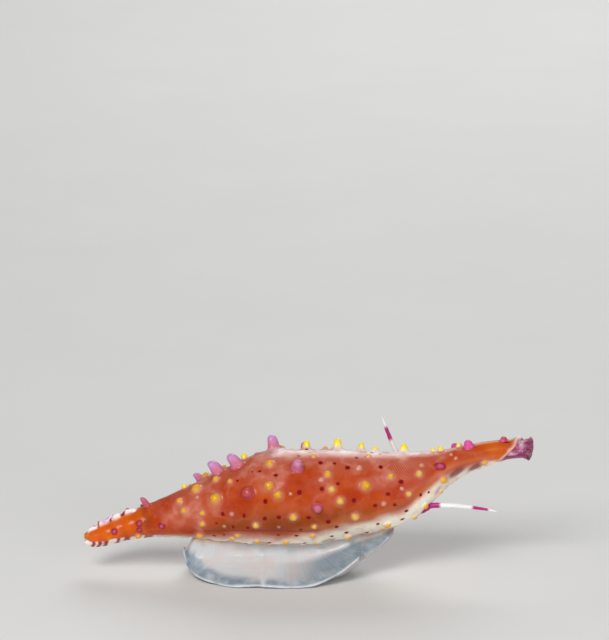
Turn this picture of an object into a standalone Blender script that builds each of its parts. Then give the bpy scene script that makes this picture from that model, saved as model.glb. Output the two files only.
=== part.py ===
"""Allied cowrie, a slender sea snail, life size, with its mantle drawn up over the shell.

Sizes are in millimetres until a mesh is made. +X is forward, +Y the animal's left and +Z up.
The origin is on the floor, under the middle of the sole.
A place on the body is a station, x, and an angle round it: 0 faces the right flank, 90 is the top,
180 the left flank and -90 the underside.
"""

import math
import random

import bmesh
import bpy
from mathutils import Matrix, Vector

MM = 0.001
GAP = 0.3
SEED = 7

# Body: station, height of its axis above the floor, radius
BODY = (
    (-20.05, 3.45, 0.42),
    (-19.5, 3.52, 0.80),
    (-18.5, 3.78, 1.08),
    (-16.0, 4.65, 1.36),
    (-13.6, 5.36, 1.68),
    (-9.7, 6.20, 2.65),
    (-5.8, 7.05, 3.68),
    (-2.0, 7.88, 4.50),
    (2.0, 7.95, 4.52),
    (6.0, 8.13, 4.24),
    (10.0, 8.42, 3.80),
    (12.0, 8.82, 3.38),
    (13.8, 9.68, 2.66),
    (15.7, 10.85, 1.82),
    (18.7, 12.02, 1.27),
    (21.6, 12.55, 1.12),
    (22.9, 12.62, 1.09),
    (23.5, 12.64, 1.24),
)
BODY_WIDTH = 1.03
BODY_RINGS = 52
BODY_SEGMENTS = 28
# The slit under the spouts, open behind its first station and before its last
SLIT_DEPTH = 0.40
SLIT_BEHIND = -9.0
SLIT_BEFORE = 13.0
TAIL_PIT = 0.9

# Where thin cuts part the body
REAR_CUT = -11.55
FRONT_CUT = 13.95
SIPHON_CUT = 21.55
# Angle of the seam where the two lobes of the mantle meet on the back
SEAM = 130

# Siphon's bore: depth, radius at the rim and radius at its end
BORE_DEPTH = 2.4
BORE_MOUTH = 0.98
BORE_END = 0.45
RIM_LEAN = math.radians(20)
RIM_START = 22.4

# Foot: station, half width, height of the margin, height of the sole
FOOT = (
    (-10.05, 0.55, 1.90, 1.70),
    (-9.7, 1.70, 0.95, 0.75),
    (-8.8, 3.05, 0.42, 0.18),
    (-7.4, 4.30, 0.12, 0.0),
    (-5.8, 5.05, 0.0, 0.0),
    (-3.0, 5.35, 0.14, 0.0),
    (0.5, 5.50, 0.0, 0.0),
    (2.4, 5.15, 0.15, 0.0),
    (3.8, 4.80, 0.62, 0.0),
    (5.2, 4.30, 1.28, 0.20),
    (7.0, 3.45, 2.50, 1.45),
    (8.8, 2.50, 3.32, 2.70),
    (9.8, 1.75, 4.05, 3.55),
    (10.25, 1.20, 4.45, 4.15),
)
FOOT_RINGS = 26
FOOT_HALF = 12
MARGIN = 0.5
# Shares of the flank's height where its section is set, from where the flare starts to the margin
FLANK_RISES = (0.62, 0.36, 0.20, 0.09, 0.0)
FLARE_POWER = 1.8
COLUMN_HALF_WIDTH = 1.35
COLUMN_SINK = 0.8
NECK_SHARE = 0.62
FREE_FROM = -9.2
FREE_LENGTH = 0.85
FREE_HEIGHT = 1.2

# Head, in the front of the slot that the foot leaves by: centres and radii of its forms
NECK = ((10.6, 0.0, 6.62), (1.9, 1.6, 0.85))
SWELLING = ((11.65, 1.28, 6.50), (1.0, 0.56, 0.56))
SWELLING_YAW = math.radians(14)
HEAD_ROOM = ((11.5, 0.0, 6.75), (1.95, 2.25, 1.35))
LIPS_APART = ((11.75, 0.0, 5.6), (1.95, 1.75, 1.6))
EYE_RADIUS = 0.2
EYE_GAP = 0.12
EYE_OUT = (-0.1, 0.60, -0.79)
EYE_REACH = 0.47
SNOUT = ((11.9, 0.0, 6.34), (1.25, 0.76, 0.64))
SNOUT_PITCH = math.radians(8)
MOUTH_DEPTH = 0.22
MOUTH_HALF_HEIGHT = 0.30
MOUTH_HALF_WIDTH = 0.08

# Tentacles: points along each, root first, and the radius from root to tip
RIGHT_TENTACLE = (
    (12.4, -1.43, 6.55),
    (13.3, -1.50, 6.95),
    (13.85, -1.64, 7.34),
    (15.2, -1.90, 7.44),
    (16.7, -2.10, 7.42),
    (18.7, -2.30, 7.25),
    (20.3, -2.45, 6.97),
)
LEFT_TENTACLE = (
    (12.4, 1.43, 6.55),
    (12.75, 2.45, 6.25),
    (12.45, 3.60, 6.95),
    (11.75, 4.35, 8.75),
    (10.5, 4.95, 10.8),
    (9.72, 5.40, 12.6),
    (9.1, 5.75, 14.09),
)
TENTACLE_ROOT = 0.33
TENTACLE_MID = 0.25
TENTACLE_MID_AT = 0.6
TENTACLE_TIP = 0.10
TENTACLE_RINGS = 14
TENTACLE_SEGMENTS = 8
# Share of its length where each tentacle is parted
TENTACLE_PART = 0.5

# Yellow papillae of the right flank: angle of a row, then their stations along it
YELLOW_ROWS = (
    (88, (2.3, 7.6)),
    (71, (-9.1, -7.0)),
    (60, (-10.8, -5.7, -1.8)),
    (42, (3.7, 9.9, 12.2)),
    (28, (-10.3, -7.1, -1.9, 4.1, 7.5)),
    (9, (-8.5, -1.0, 5.0, 11.4)),
    (-15, (-8.5, -5.6, 0.4, 6.5, 15.0)),
    (-26, (-6.4, -3.2, 2.5)),
    (-50, (-8.7, -5.0, 2.3, 9.6, 13.2)),
    (-64, (-5.6, -3.1, -0.3, 2.7, 5.7, 9.2)),
)
YELLOW_RADIUS = 0.44
YELLOW_HEIGHT = 0.62
# How far their size, angle and station vary, and how the left flank's rows lie against the right's
YELLOW_SPREAD = 0.28
ANGLE_SPREAD = 2.5
STATION_SPREAD = 0.3
LEFT_SHIFT = 1.05
LEFT_HIGHEST = 75
# The row that stands on the top's outline: station, angle, height
CREST_ROW = (
    (-10.2, 98, 0.40),
    (-4.2, 103, 0.60),
    (1.7, 106, 0.95),
    (4.7, 106, 1.05),
    (7.05, 106, 0.62),
    (8.4, 106, 0.42),
    (11.2, 106, 0.55),
    (13.3, 104, 0.34),
    (14.8, 98, 0.50),
    (16.6, 98, 0.42),
    (19.1, -47, 0.34),
    (-14.8, -66, 0.45),
)
# Pink papillae: station, angle, radius, height, lean towards the tail
PINK = (
    (-6.9, 92, 0.68, 1.40, 0.25),
    (-5.2, 82, 0.70, 1.55, 0.25),
    (-1.6, 104, 0.62, 1.50, 0.10),
    (0.8, 55, 0.66, 1.15, 0.0),
    (-4.1, 27, 0.66, 0.95, 0.35),
    (2.75, 1, 0.60, 0.80, 0.0),
    (-14.0, 84, 0.36, 1.05, 0.35),
    (17.5, 92, 0.48, 0.60, 0.0),
    (14.9, 36, 0.50, 0.34, 0.0),
    (20.8, 98, 0.30, 0.30, 0.0),
    (-17.2, 8, 0.32, 0.32, 0.0),
    (-14.9, 11, 0.34, 0.32, 0.0),
    (-14.8, -14, 0.34, 0.34, 0.0),
    (-12.5, -12, 0.36, 0.34, 0.0),
    (-4.4, 148, 0.66, 1.45, 0.30),
    (1.6, 134, 0.66, 1.30, 0.1),
    (-8.6, 128, 0.60, 1.10, 0.30),
    (7.4, 160, 0.60, 0.85, 0.0),
    (16.2, 128, 0.46, 0.55, 0.0),
    (-14.9, 150, 0.34, 0.40, 0.0),
)
# Frill on the tail: station, angle, half length and height of each lobe
FRILL = (
    (-19.3, 70, 0.55, 0.30),
    (-18.2, 74, 0.65, 0.45),
    (-17.0, 76, 0.65, 0.52),
    (-15.7, 78, 0.70, 0.48),
    (-18.7, 150, 0.70, 0.75),
    (-17.4, 157, 0.85, 1.10),
    (-15.9, 162, 0.95, 1.35),
    (-14.3, 158, 0.85, 1.00),
)
FRILL_THICKNESS = 0.55

COLOURS = {
    "mantle_left": (0.62, 0.17, 0.045),
    "mantle_right": (0.62, 0.17, 0.045),
    "tail_spout": (0.70, 0.24, 0.03),
    "front_spout": (0.66, 0.20, 0.04),
    "siphon": (0.42, 0.10, 0.22),
    "foot": (0.74, 0.72, 0.70),
    "head": (0.78, 0.62, 0.48),
    "snout": (0.48, 0.06, 0.03),
    "tentacle_left_root": (0.60, 0.22, 0.45),
    "tentacle_left_tip": (0.75, 0.62, 0.72),
    "tentacle_right_root": (0.60, 0.22, 0.45),
    "tentacle_right_tip": (0.75, 0.62, 0.72),
    "eye_left": (0.01, 0.01, 0.01),
    "eye_right": (0.01, 0.01, 0.01),
}
ROUGHNESS = 0.35


def along(stations, x, column):
    """The value of one column at x, on a smooth curve through the stations."""
    last = len(stations) - 1
    if x <= stations[0][0]:
        return stations[0][column]
    if x >= stations[last][0]:
        return stations[last][column]
    i = next(k for k in range(last) if x < stations[k + 1][0])

    def slope(k):
        before, after = max(k - 1, 0), min(k + 1, last)
        rise = stations[after][column] - stations[before][column]
        return rise / (stations[after][0] - stations[before][0])

    step = stations[i + 1][0] - stations[i][0]
    t = (x - stations[i][0]) / step
    start, end = stations[i][column], stations[i + 1][column]
    return (
        start * (2 * t**3 - 3 * t**2 + 1)
        + slope(i) * step * (t**3 - 2 * t**2 + t)
        + end * (3 * t**2 - 2 * t**3)
        + slope(i + 1) * step * (t**3 - t**2)
    )


def body_point(x, angle):
    """A place on the body's surface, from its station and its angle in radians."""
    radius = along(BODY, x, 2)
    return Vector(
        (
            x,
            -BODY_WIDTH * radius * math.cos(angle),
            along(BODY, x, 1) + radius * math.sin(angle),
        )
    )


def body_normal(x, angle):
    """The outward direction of the body's surface there."""
    step = 0.05
    ahead = body_point(x + step, angle) - body_point(x - step, angle)
    around = body_point(x, angle + step) - body_point(x, angle - step)
    return ahead.cross(around).normalized()


def body_bottom(x):
    """Height of the body's lowest line at a station."""
    return along(BODY, x, 1) - along(BODY, x, 2)


def wrapped(name, segments, rings, place):
    """A closed mesh: a sphere's grid, each vertex moved to place(share, angle).

    share runs from 0 at one pole to 1 at the other, and angle from 0 to a full turn.
    """
    form = bmesh.new()
    bmesh.ops.create_uvsphere(form, u_segments=segments, v_segments=rings, radius=1.0)
    for vertex in form.verts:
        share = math.acos(max(-1.0, min(1.0, -vertex.co.z))) / math.pi
        angle = math.atan2(vertex.co.y, vertex.co.x) % (2 * math.pi)
        vertex.co = Vector(place(share, angle)) * MM
    bmesh.ops.triangulate(form, faces=form.faces)
    bmesh.ops.recalc_face_normals(form, faces=form.faces)
    mesh = bpy.data.meshes.new(name)
    form.to_mesh(mesh)
    form.free()
    made = bpy.data.objects.new(name, mesh)
    bpy.context.scene.collection.objects.link(made)
    return made


def flat_ended(share, rings):
    """A share that puts both poles of a grid in the planes of their nearest rings."""
    return min(max((share * rings - 1) / (rings - 2), 0.0), 1.0)


def ellipsoid(name, centre, radii, segments=16, rings=10, turn=None):
    """A closed ellipsoid, turned about its centre by a rotation matrix."""

    def place(share, angle):
        polar = share * math.pi
        point = Vector(
            (
                radii[0] * math.sin(polar) * math.cos(angle),
                radii[1] * math.sin(polar) * math.sin(angle),
                -radii[2] * math.cos(polar),
            )
        )
        return Vector(centre) + (turn @ point if turn else point)

    return wrapped(name, segments, rings, place)


def box(name, low, high):
    """A closed box between two corners."""
    form = bmesh.new()
    bmesh.ops.create_cube(form, size=1.0)
    low, high = Vector(low), Vector(high)
    centre, size = (low + high) / 2, high - low
    for vertex in form.verts:
        vertex.co = (centre + Vector(a * b for a, b in zip(vertex.co, size))) * MM
    mesh = bpy.data.meshes.new(name)
    form.to_mesh(mesh)
    form.free()
    made = bpy.data.objects.new(name, mesh)
    bpy.context.scene.collection.objects.link(made)
    return made


def join(target, others, operation):
    """Applies one Boolean of the target with a collection of the others, and removes them."""
    if not others:
        return target
    operands = bpy.data.collections.new("operands")
    bpy.context.scene.collection.children.link(operands)
    for other in others:
        operands.objects.link(other)
    modifier = target.modifiers.new("join", "BOOLEAN")
    modifier.operand_type = "COLLECTION"
    modifier.collection = operands
    modifier.operation = operation
    graph = bpy.context.evaluated_depsgraph_get()
    mesh = bpy.data.meshes.new_from_object(target.evaluated_get(graph), depsgraph=graph)
    target.modifiers.clear()
    target.data = mesh
    for other in others:
        bpy.data.objects.remove(other)
    bpy.data.collections.remove(operands)
    return target


def keep_largest(target):
    """Leaves only the target's largest closed surface."""
    form = bmesh.new()
    form.from_mesh(target.data)
    left, islands = set(form.verts), []
    while left:
        island, front = set(), [next(iter(left))]
        while front:
            vertex = front.pop()
            if vertex in island:
                continue
            island.add(vertex)
            front.extend(edge.other_vert(vertex) for edge in vertex.link_edges)
        left -= island
        islands.append(island)
    islands.sort(key=size_of)
    for island in islands[:-1]:
        bmesh.ops.delete(form, geom=list(island), context="VERTS")
    form.to_mesh(target.data)
    form.free()


def size_of(island):
    """Diagonal of the box round some vertices."""
    places = [vertex.co for vertex in island]
    spans = [max(p[k] for p in places) - min(p[k] for p in places) for k in range(3)]
    return math.hypot(*spans)


def body_form(name):
    """The whole spindle from the tail's tip to the siphon's rim, with the slit under both spouts."""
    start, end = BODY[0][0], BODY[-1][0]

    def place(share, angle):
        x = start + (end - start) * flat_ended(share, BODY_RINGS)
        round_body = angle - math.pi / 2
        if share == 0.0:
            return (x + TAIL_PIT, 0.0, along(BODY, x, 1))
        if share == 1.0:
            return (x, 0.0, along(BODY, x, 1))
        point = body_point(x, round_body)
        lowest = math.isclose(math.sin(round_body), -1.0)
        if lowest and (x < SLIT_BEHIND or SLIT_BEFORE < x < SIPHON_CUT - 1):
            point.z += SLIT_DEPTH
        rim = max(0.0, (x - RIM_START) / (end - RIM_START))
        point.x += math.tan(RIM_LEAN) * point.y * rim
        return point

    return wrapped(name, BODY_SEGMENTS, BODY_RINGS, place)


def standing_turn(x, angle, lean):
    """A rotation that stands +Z on the body's surface and tips it towards the tail."""
    up = (body_normal(x, angle) + Vector((-lean, 0.0, 0.0))).normalized()
    return up.to_track_quat("Z", "X").to_matrix()


def papilla(x, degrees, radius, height, lean, sides):
    """A blunt cone with its root sunk in the body."""
    angle = math.radians(degrees)
    root, turn = body_point(x, angle), standing_turn(x, angle, lean)
    sink = 0.45 * radius + 0.12
    # Share of the height, share of the radius
    profile = ((-sink, 0.0), (-sink, 0.95), (0.02, 1.0), (0.5, 0.66), (0.88, 0.42), (1.0, 0.0))
    levels = len(profile) - 1

    def place(share, angle_round):
        level, width = profile[round(share * levels)]
        up = level * height if level > 0 else level
        reach = width * radius
        local = Vector((reach * math.cos(angle_round), reach * math.sin(angle_round), up))
        return root + turn @ local

    return wrapped("papilla", sides, levels, place)


def frill_lobe(x, degrees, half_length, height):
    """A flat, rounded lobe of the tail's frill, its root sunk in the body."""
    angle = math.radians(degrees)
    up, ahead = body_normal(x, angle), Vector((1.0, 0.0, 0.0))
    across = up.cross(ahead).normalized()
    turn = Matrix((across.cross(up), across, up)).transposed()
    radii = (half_length, FRILL_THICKNESS / 2, height)
    return ellipsoid("lobe", body_point(x, angle), radii, segments=10, rings=6, turn=turn)


def all_papillae():
    """Station, angle, radius, height, lean and sides of each papilla on the body."""
    draw = random.Random(SEED)
    found = []

    def add_yellow(x, degrees):
        size = 1 + YELLOW_SPREAD * draw.uniform(-1, 1)
        turn = degrees + ANGLE_SPREAD * draw.uniform(-1, 1)
        found.append((x, turn, YELLOW_RADIUS * size, YELLOW_HEIGHT * size, 0.0, 6))

    for degrees, stations in YELLOW_ROWS:
        for x in stations:
            add_yellow(x, degrees)
            if degrees < LEFT_HIGHEST:
                add_yellow(x + LEFT_SHIFT + STATION_SPREAD * draw.uniform(-1, 1), 180 - degrees)
    for x, degrees, height in CREST_ROW:
        found.append((x, degrees, YELLOW_RADIUS, height, 0.0, 6))
    for x, degrees, radius, height, lean in PINK:
        found.append((x, degrees, radius, height, lean, 8))
    return [clear_of_cuts(*each) for each in found]


def clear_of_cuts(x, degrees, radius, height, lean, sides):
    """The same papilla, moved over the body where a cut would cross its root."""
    near = radius + GAP
    for cut in (REAR_CUT, FRONT_CUT):
        if abs(x - cut) < near:
            x = cut + math.copysign(near, x - cut)
    turn = math.degrees(near / along(BODY, x, 2))
    if REAR_CUT < x < FRONT_CUT and abs(degrees - SEAM) < turn:
        degrees = SEAM + math.copysign(turn, degrees - SEAM)
    return (x, degrees, radius, height, lean, sides)


def foot_top(x):
    """Height of the top of the foot's column, which stands in the mantle's slit but for its tail end."""
    top = body_bottom(x) + COLUMN_SINK
    free = max(0.0, (FREE_FROM - x) / FREE_LENGTH)
    return top - free * (top - along(FOOT, x, 2) - FREE_HEIGHT)


def foot_neck(x):
    """Half the width of the foot's column."""
    return min(COLUMN_HALF_WIDTH, NECK_SHARE * along(FOOT, x, 1))


def foot_form(name):
    """The foot: a column that flares into a broad thin sole, its front raised to the head."""
    start, end = FOOT[0][0], FOOT[-1][0]
    middle, half = (start + end) / 2, (end - start) / 2

    def place(share, angle):
        x = middle - half * math.cos(share * math.pi)
        width, margin, sole = (along(FOOT, x, column) for column in (1, 2, 3))
        top, neck = foot_top(x), foot_neck(x)
        edge = MARGIN * (0.8 if width > 1.5 else 1.0)

        def flank(rise):
            flare = (1 - rise / FLANK_RISES[0]) ** FLARE_POWER
            low = margin + edge
            return (neck + (width - 0.08 - neck) * flare, low + rise * (top - low))

        section = (
            (0.0, top),
            (0.72 * neck, top),
            (neck, top - 0.3 * (top - margin - edge) / 3),
            *(flank(rise) for rise in FLANK_RISES),
            (width, margin + 0.3 * edge),
            (width - 0.22, margin),
            (0.70 * width, 0.45 * margin + 0.55 * sole),
            (0.45 * width, sole),
            (0.0, sole),
        )
        if share in (0.0, 1.0):
            return (x, 0.0, (top + sole) / 2)
        step = round(angle / (math.pi / FOOT_HALF)) % (2 * FOOT_HALF)
        side = 1 if step <= FOOT_HALF else -1
        y, z = section[step if side > 0 else 2 * FOOT_HALF - step]
        return (x, side * y, z)

    return wrapped(name, 2 * FOOT_HALF, FOOT_RINGS, place)


def column_slot():
    """What is cut from the mantle for the foot's column, a gap wider than it all round."""
    start, end = FOOT[0][0] - GAP, FOOT[-1][0] + GAP
    middle, half = (start + end) / 2, (end - start) / 2

    def place(share, angle):
        x = middle - half * math.cos(share * math.pi)
        neck, top = foot_neck(x), foot_top(x) + GAP
        low = body_bottom(x) - 2.0
        width = (neck + GAP) if 0.0 < share < 1.0 else 0.0
        across, up = math.cos(angle), math.sin(angle)
        square = 1 / max(abs(across), abs(up))
        return (x, width * across * square, (top + low) / 2 + (top - low) / 2 * up * square)

    return wrapped("slot", 12, 26, place)


def tentacle_form(name, points, extra=0.0, start=0.0, end=1.0):
    """A length of a tapering feeler, along a smooth curve through its points."""
    count = len(points) - 1
    table = [tuple([k] + list(p)) for k, p in enumerate(points)]

    def centre(t):
        return Vector([along(table, t * count, column) for column in (1, 2, 3)])

    def place(share, angle):
        t = start + (end - start) * flat_ended(share, TENTACLE_RINGS)
        direction = (centre(min(t + 0.02, 1.0)) - centre(max(t - 0.02, 0.0))).normalized()
        side = direction.cross(Vector((0.3, -0.9, 0.4))).normalized()
        other = direction.cross(side)
        if t < TENTACLE_MID_AT:
            radius = TENTACLE_ROOT + (TENTACLE_MID - TENTACLE_ROOT) * t / TENTACLE_MID_AT
        else:
            past = (t - TENTACLE_MID_AT) / (1 - TENTACLE_MID_AT)
            radius = TENTACLE_MID + (TENTACLE_TIP - TENTACLE_MID) * past
        radius = (radius + extra) if 0.0 < share < 1.0 else 0.0
        return centre(t) + radius * (math.cos(angle) * side + math.sin(angle) * other)

    return wrapped(name, TENTACLE_SEGMENTS, TENTACLE_RINGS, place)


def tentacle_nodes(side, points):
    """The two lengths of one tentacle, a gap apart."""
    length = sum((Vector(b) - Vector(a)).length for a, b in zip(points, points[1:]))
    half = GAP / length / 2
    return [
        tentacle_form(f"tentacle_{side}_root", points, end=TENTACLE_PART - half),
        tentacle_form(f"tentacle_{side}_tip", points, start=TENTACLE_PART + half),
    ]


def snout_form(name, extra=0.0):
    """The snout, pointing forward and a little down."""
    centre, radii = SNOUT
    turn = Matrix.Rotation(SNOUT_PITCH, 3, "Y")
    return ellipsoid(name, centre, [radius + extra for radius in radii], 18, 12, turn)


def swelling(side):
    """The swelling at the root of a tentacle, with the eye on it."""
    centre, radii = SWELLING
    turn = Matrix.Rotation(side * SWELLING_YAW, 3, "Z")
    return ellipsoid("swelling", mirrored(centre, side), radii, 16, 10, turn)


def mirrored(point, side):
    """A place on the right side where side is -1, and on the left where it is 1."""
    return Vector((point[0], side * point[1], point[2]))


def eye_centre(side):
    """Centre of an eye, just under the skin of its swelling."""
    return mirrored(SWELLING[0], side) + mirrored(EYE_OUT, side).normalized() * EYE_REACH


def finish(node, colour):
    """Gives a node its material and shading."""
    material = bpy.data.materials.new(node.name)
    material.use_nodes = True
    shader = material.node_tree.nodes["Principled BSDF"]
    shader.inputs["Base Color"].default_value = (*colour, 1.0)
    shader.inputs["Roughness"].default_value = ROUGHNESS
    node.data.materials.clear()
    node.data.materials.append(material)
    node.data.shade_smooth()


def in_region(x, degrees, name):
    """Whether a papilla or lobe at this station and angle grows from the node."""
    if x < REAR_CUT:
        return name == "tail_spout"
    if x > FRONT_CUT:
        return name == "front_spout"
    return name == ("mantle_left" if degrees > SEAM else "mantle_right")


def lobe_region(side):
    """What holds one lobe of the mantle: side is 1 for the left, up to the seam, and -1 for the right."""
    low, high = REAR_CUT + GAP / 2, FRONT_CUT - GAP / 2
    far = 20.0
    rings = 30

    def place(share, angle):
        x = low + (high - low) * flat_ended(share, rings)
        root = Vector((x, 0.0, body_bottom(x)))
        seam = (body_point(x, math.radians(SEAM)) - root).normalized()
        across = Vector((0.0, seam.z, -seam.y)) * side
        near = root + across * GAP / 2
        corners = (
            near - seam * far,
            near - seam * far + across * far,
            near + seam * far + across * far,
            near + seam * far,
        )
        if share in (0.0, 1.0):
            return sum(corners, Vector()) / 4
        return corners[round(angle / (math.pi / 2)) % 4]

    return wrapped("keep", 4, rings, place)


def region(name):
    """What holds one length of the body, half a gap inside its cuts."""
    half, far = GAP / 2, 30.0
    if name == "tail_spout":
        return box("keep", (-far, -far, -far), (REAR_CUT - half, far, far))
    if name == "mantle_left":
        return lobe_region(1)
    if name == "mantle_right":
        return lobe_region(-1)
    if name == "front_spout":
        return box("keep", (FRONT_CUT + half, -far, -far), (SIPHON_CUT - half, far, far))
    return box("keep", (SIPHON_CUT + half, -far, -far), (far, far, far))


def body_node(name, rooms):
    """One length of the body with its papillae, less the rooms of the foot, head and tentacles."""
    node = body_form(name)
    join(node, [region(name)], "INTERSECT")
    grown = [papilla(*each) for each in all_papillae() if in_region(each[0], each[1], name)]
    grown += [frill_lobe(*each) for each in FRILL if name == "tail_spout"]
    join(node, grown, "UNION")
    join(node, rooms, "DIFFERENCE")
    keep_largest(node)
    return node


def clearances():
    """What the mantle makes room for under the animal."""
    neck_centre, neck_radii = NECK
    return [
        column_slot(),
        ellipsoid("head_room", *HEAD_ROOM, 20, 12),
        ellipsoid("lips_apart", *LIPS_APART, 20, 12),
        ellipsoid("neck_room", neck_centre, [radius + GAP for radius in neck_radii], 16, 10),
        tentacle_form("right_room", RIGHT_TENTACLE, GAP, end=0.5),
        tentacle_form("left_room", LEFT_TENTACLE, GAP, end=0.5),
    ]


def bore():
    """The flaring hollow of the siphon."""
    end, rings = BODY[-1][0], 8

    def place(share, angle):
        depth = BORE_DEPTH * (1 - flat_ended(share, rings))
        flare = (1 - depth / BORE_DEPTH) ** 1.6
        radius = BORE_END + (BORE_MOUTH - BORE_END) * flare
        radius = radius if 0 < share < 1 else 0.0
        y, z = radius * math.cos(angle), radius * math.sin(angle)
        past = 0.6 if share > 0.8 else 0.0
        return (end - depth + past, y, along(BODY, end, 1) + z)

    return wrapped("bore", 16, rings, place)


def siphon_node():
    """The flared tube at the front, hollow from its rim inwards."""
    node = body_form("siphon")
    join(node, [region("siphon")], "INTERSECT")
    join(node, [bore()], "DIFFERENCE")
    keep_largest(node)
    return node


def head_node():
    """The neck and the two swellings, cut clear of the snout, eyes and tentacles."""
    node = ellipsoid("head", *NECK, 20, 12)
    join(node, [swelling(side) for side in (-1, 1)], "UNION")
    cut = [snout_form("snout_room", GAP)]
    cut += [
        ellipsoid("socket", eye_centre(side), [EYE_RADIUS + EYE_GAP] * 3, 12, 8)
        for side in (-1, 1)
    ]
    cut += [tentacle_form("room", points, GAP, end=0.3) for points in (RIGHT_TENTACLE, LEFT_TENTACLE)]
    join(node, cut, "DIFFERENCE")
    keep_largest(node)
    return node


def snout_node():
    """The snout, with the slit of the mouth in its front."""
    node = snout_form("snout")
    centre, radii = SNOUT
    reach = Vector((math.cos(SNOUT_PITCH), 0.0, -math.sin(SNOUT_PITCH))) * radii[0]
    tip = Vector(centre) + reach
    low = tip - Vector((MOUTH_DEPTH, MOUTH_HALF_WIDTH, MOUTH_HALF_HEIGHT))
    high = tip + Vector((MOUTH_DEPTH, MOUTH_HALF_WIDTH, MOUTH_HALF_HEIGHT))
    join(node, [box("mouth", low, high)], "DIFFERENCE")
    keep_largest(node)
    return node


def build():
    """Makes every node of the animal."""
    for each in list(bpy.data.objects):
        bpy.data.objects.remove(each)
    nodes = [
        body_node("tail_spout", []),
        body_node("mantle_left", clearances()),
        body_node("mantle_right", clearances()),
        body_node("front_spout", clearances()),
        siphon_node(),
        foot_form("foot"),
        head_node(),
        snout_node(),
        *tentacle_nodes("left", LEFT_TENTACLE),
        *tentacle_nodes("right", RIGHT_TENTACLE),
        ellipsoid("eye_left", eye_centre(1), [EYE_RADIUS] * 3, 12, 8),
        ellipsoid("eye_right", eye_centre(-1), [EYE_RADIUS] * 3, 12, 8),
    ]
    shown = bpy.data.collections.new("allied_cowrie")
    bpy.context.scene.collection.children.link(shown)
    for node in nodes:
        bpy.context.scene.collection.objects.unlink(node)
        shown.objects.link(node)
        finish(node, COLOURS[node.name])


build()
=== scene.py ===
"""Looks of an allied cowrie, life size: its mantle, foot, head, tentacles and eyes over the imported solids.

Lengths are in millimetres until a mesh is placed, and in metres after that. +X is forward, +Y the
animal's left and +Z up. The origin is on the floor under the middle of the sole. A place on the body
is a station, x, and a turn round it in degrees: 0 faces the right flank, 90 is the top, 180 the left
flank and -90 the underside.
"""

import logging
import math
import random
from dataclasses import dataclass, field
from enum import Enum
from functools import cache
from typing import Callable, Iterator, Sequence

import bpy
import numpy as np
from mathutils import Matrix, Vector


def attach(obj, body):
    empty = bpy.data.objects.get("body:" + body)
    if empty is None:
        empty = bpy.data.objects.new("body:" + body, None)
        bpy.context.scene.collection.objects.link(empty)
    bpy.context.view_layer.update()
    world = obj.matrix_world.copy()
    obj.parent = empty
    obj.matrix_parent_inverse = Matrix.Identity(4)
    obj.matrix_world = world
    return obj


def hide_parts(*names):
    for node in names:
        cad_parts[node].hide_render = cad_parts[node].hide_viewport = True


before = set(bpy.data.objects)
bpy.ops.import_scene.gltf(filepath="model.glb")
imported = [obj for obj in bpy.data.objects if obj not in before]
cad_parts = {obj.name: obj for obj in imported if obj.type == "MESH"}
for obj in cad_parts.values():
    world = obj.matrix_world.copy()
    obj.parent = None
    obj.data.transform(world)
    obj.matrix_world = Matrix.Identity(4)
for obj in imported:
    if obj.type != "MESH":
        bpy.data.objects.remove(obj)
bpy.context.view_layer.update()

Array = np.ndarray
Form = tuple[Array, list[list[int]]]
Masks = dict[str, Array]
Paint = tuple[float, float, float, float]
Socket = bpy.types.NodeSocket
Table = Sequence[Sequence[float]]

log = logging.getLogger("allied_cowrie")

MM = 0.001
TAU = 2 * math.pi
BAKE_MAP = "OFBake"

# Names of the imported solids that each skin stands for
MANTLE = ("mantle_left", "mantle_right", "tail_spout", "front_spout", "siphon")
FOOT_AND_HEAD = (
    "foot",
    "head",
    "snout",
    "tentacle_left_root",
    "tentacle_left_tip",
    "tentacle_right_root",
    "tentacle_right_tip",
)


def ramp(low: float, high: float, value: Array) -> Array:
    """A smooth rise from 0 at low to 1 at high, or a fall where high is below low."""
    share = np.clip((value - low) / (high - low), 0.0, 1.0)
    return share * share * (3 - 2 * share)


def span(value: Array, start: float, full: float, fading: float, end: float) -> Array:
    """A smooth rise from start to full, and a fall from fading to end."""
    return ramp(start, full, value) * ramp(end, fading, value)


def bell(value: Array, centre: float, width: float) -> Array:
    """A bell of height 1 round a centre."""
    return np.exp(-(((value - centre) / width) ** 2))


def through(table: Table, value: Array) -> Array:
    """Smooth curves through the rows of a table.

    Args:
        table: Rows of a position and one or more values there.
        value: Positions to read.

    Returns:
        The values at each position, one column for each value of a row.
    """
    rows = np.asarray(table, float)
    place, height = rows[:, 0], rows[:, 1:]
    before = np.maximum(np.arange(len(rows)) - 1, 0)
    after = np.minimum(np.arange(len(rows)) + 1, len(rows) - 1)
    slope = (height[after] - height[before]) / (place[after] - place[before])[:, None]
    inside = np.clip(np.asarray(value, float), place[0], place[-1])
    k = np.clip(np.searchsorted(place, inside, side="right") - 1, 0, len(rows) - 2)
    step = (place[k + 1] - place[k])[..., None]
    t = (inside - place[k])[..., None] / step
    ahead = 3 * t**2 - 2 * t**3
    bend = slope[k] * (t**3 - 2 * t**2 + t) + slope[k + 1] * (t**3 - t**2)
    return height[k] * (1 - ahead) + height[k + 1] * ahead + step * bend


def curve(table: Table, value: Array, column: int = 0) -> Array:
    """One column of the smooth curves through a table."""
    return through(table, value)[..., column]


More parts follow.
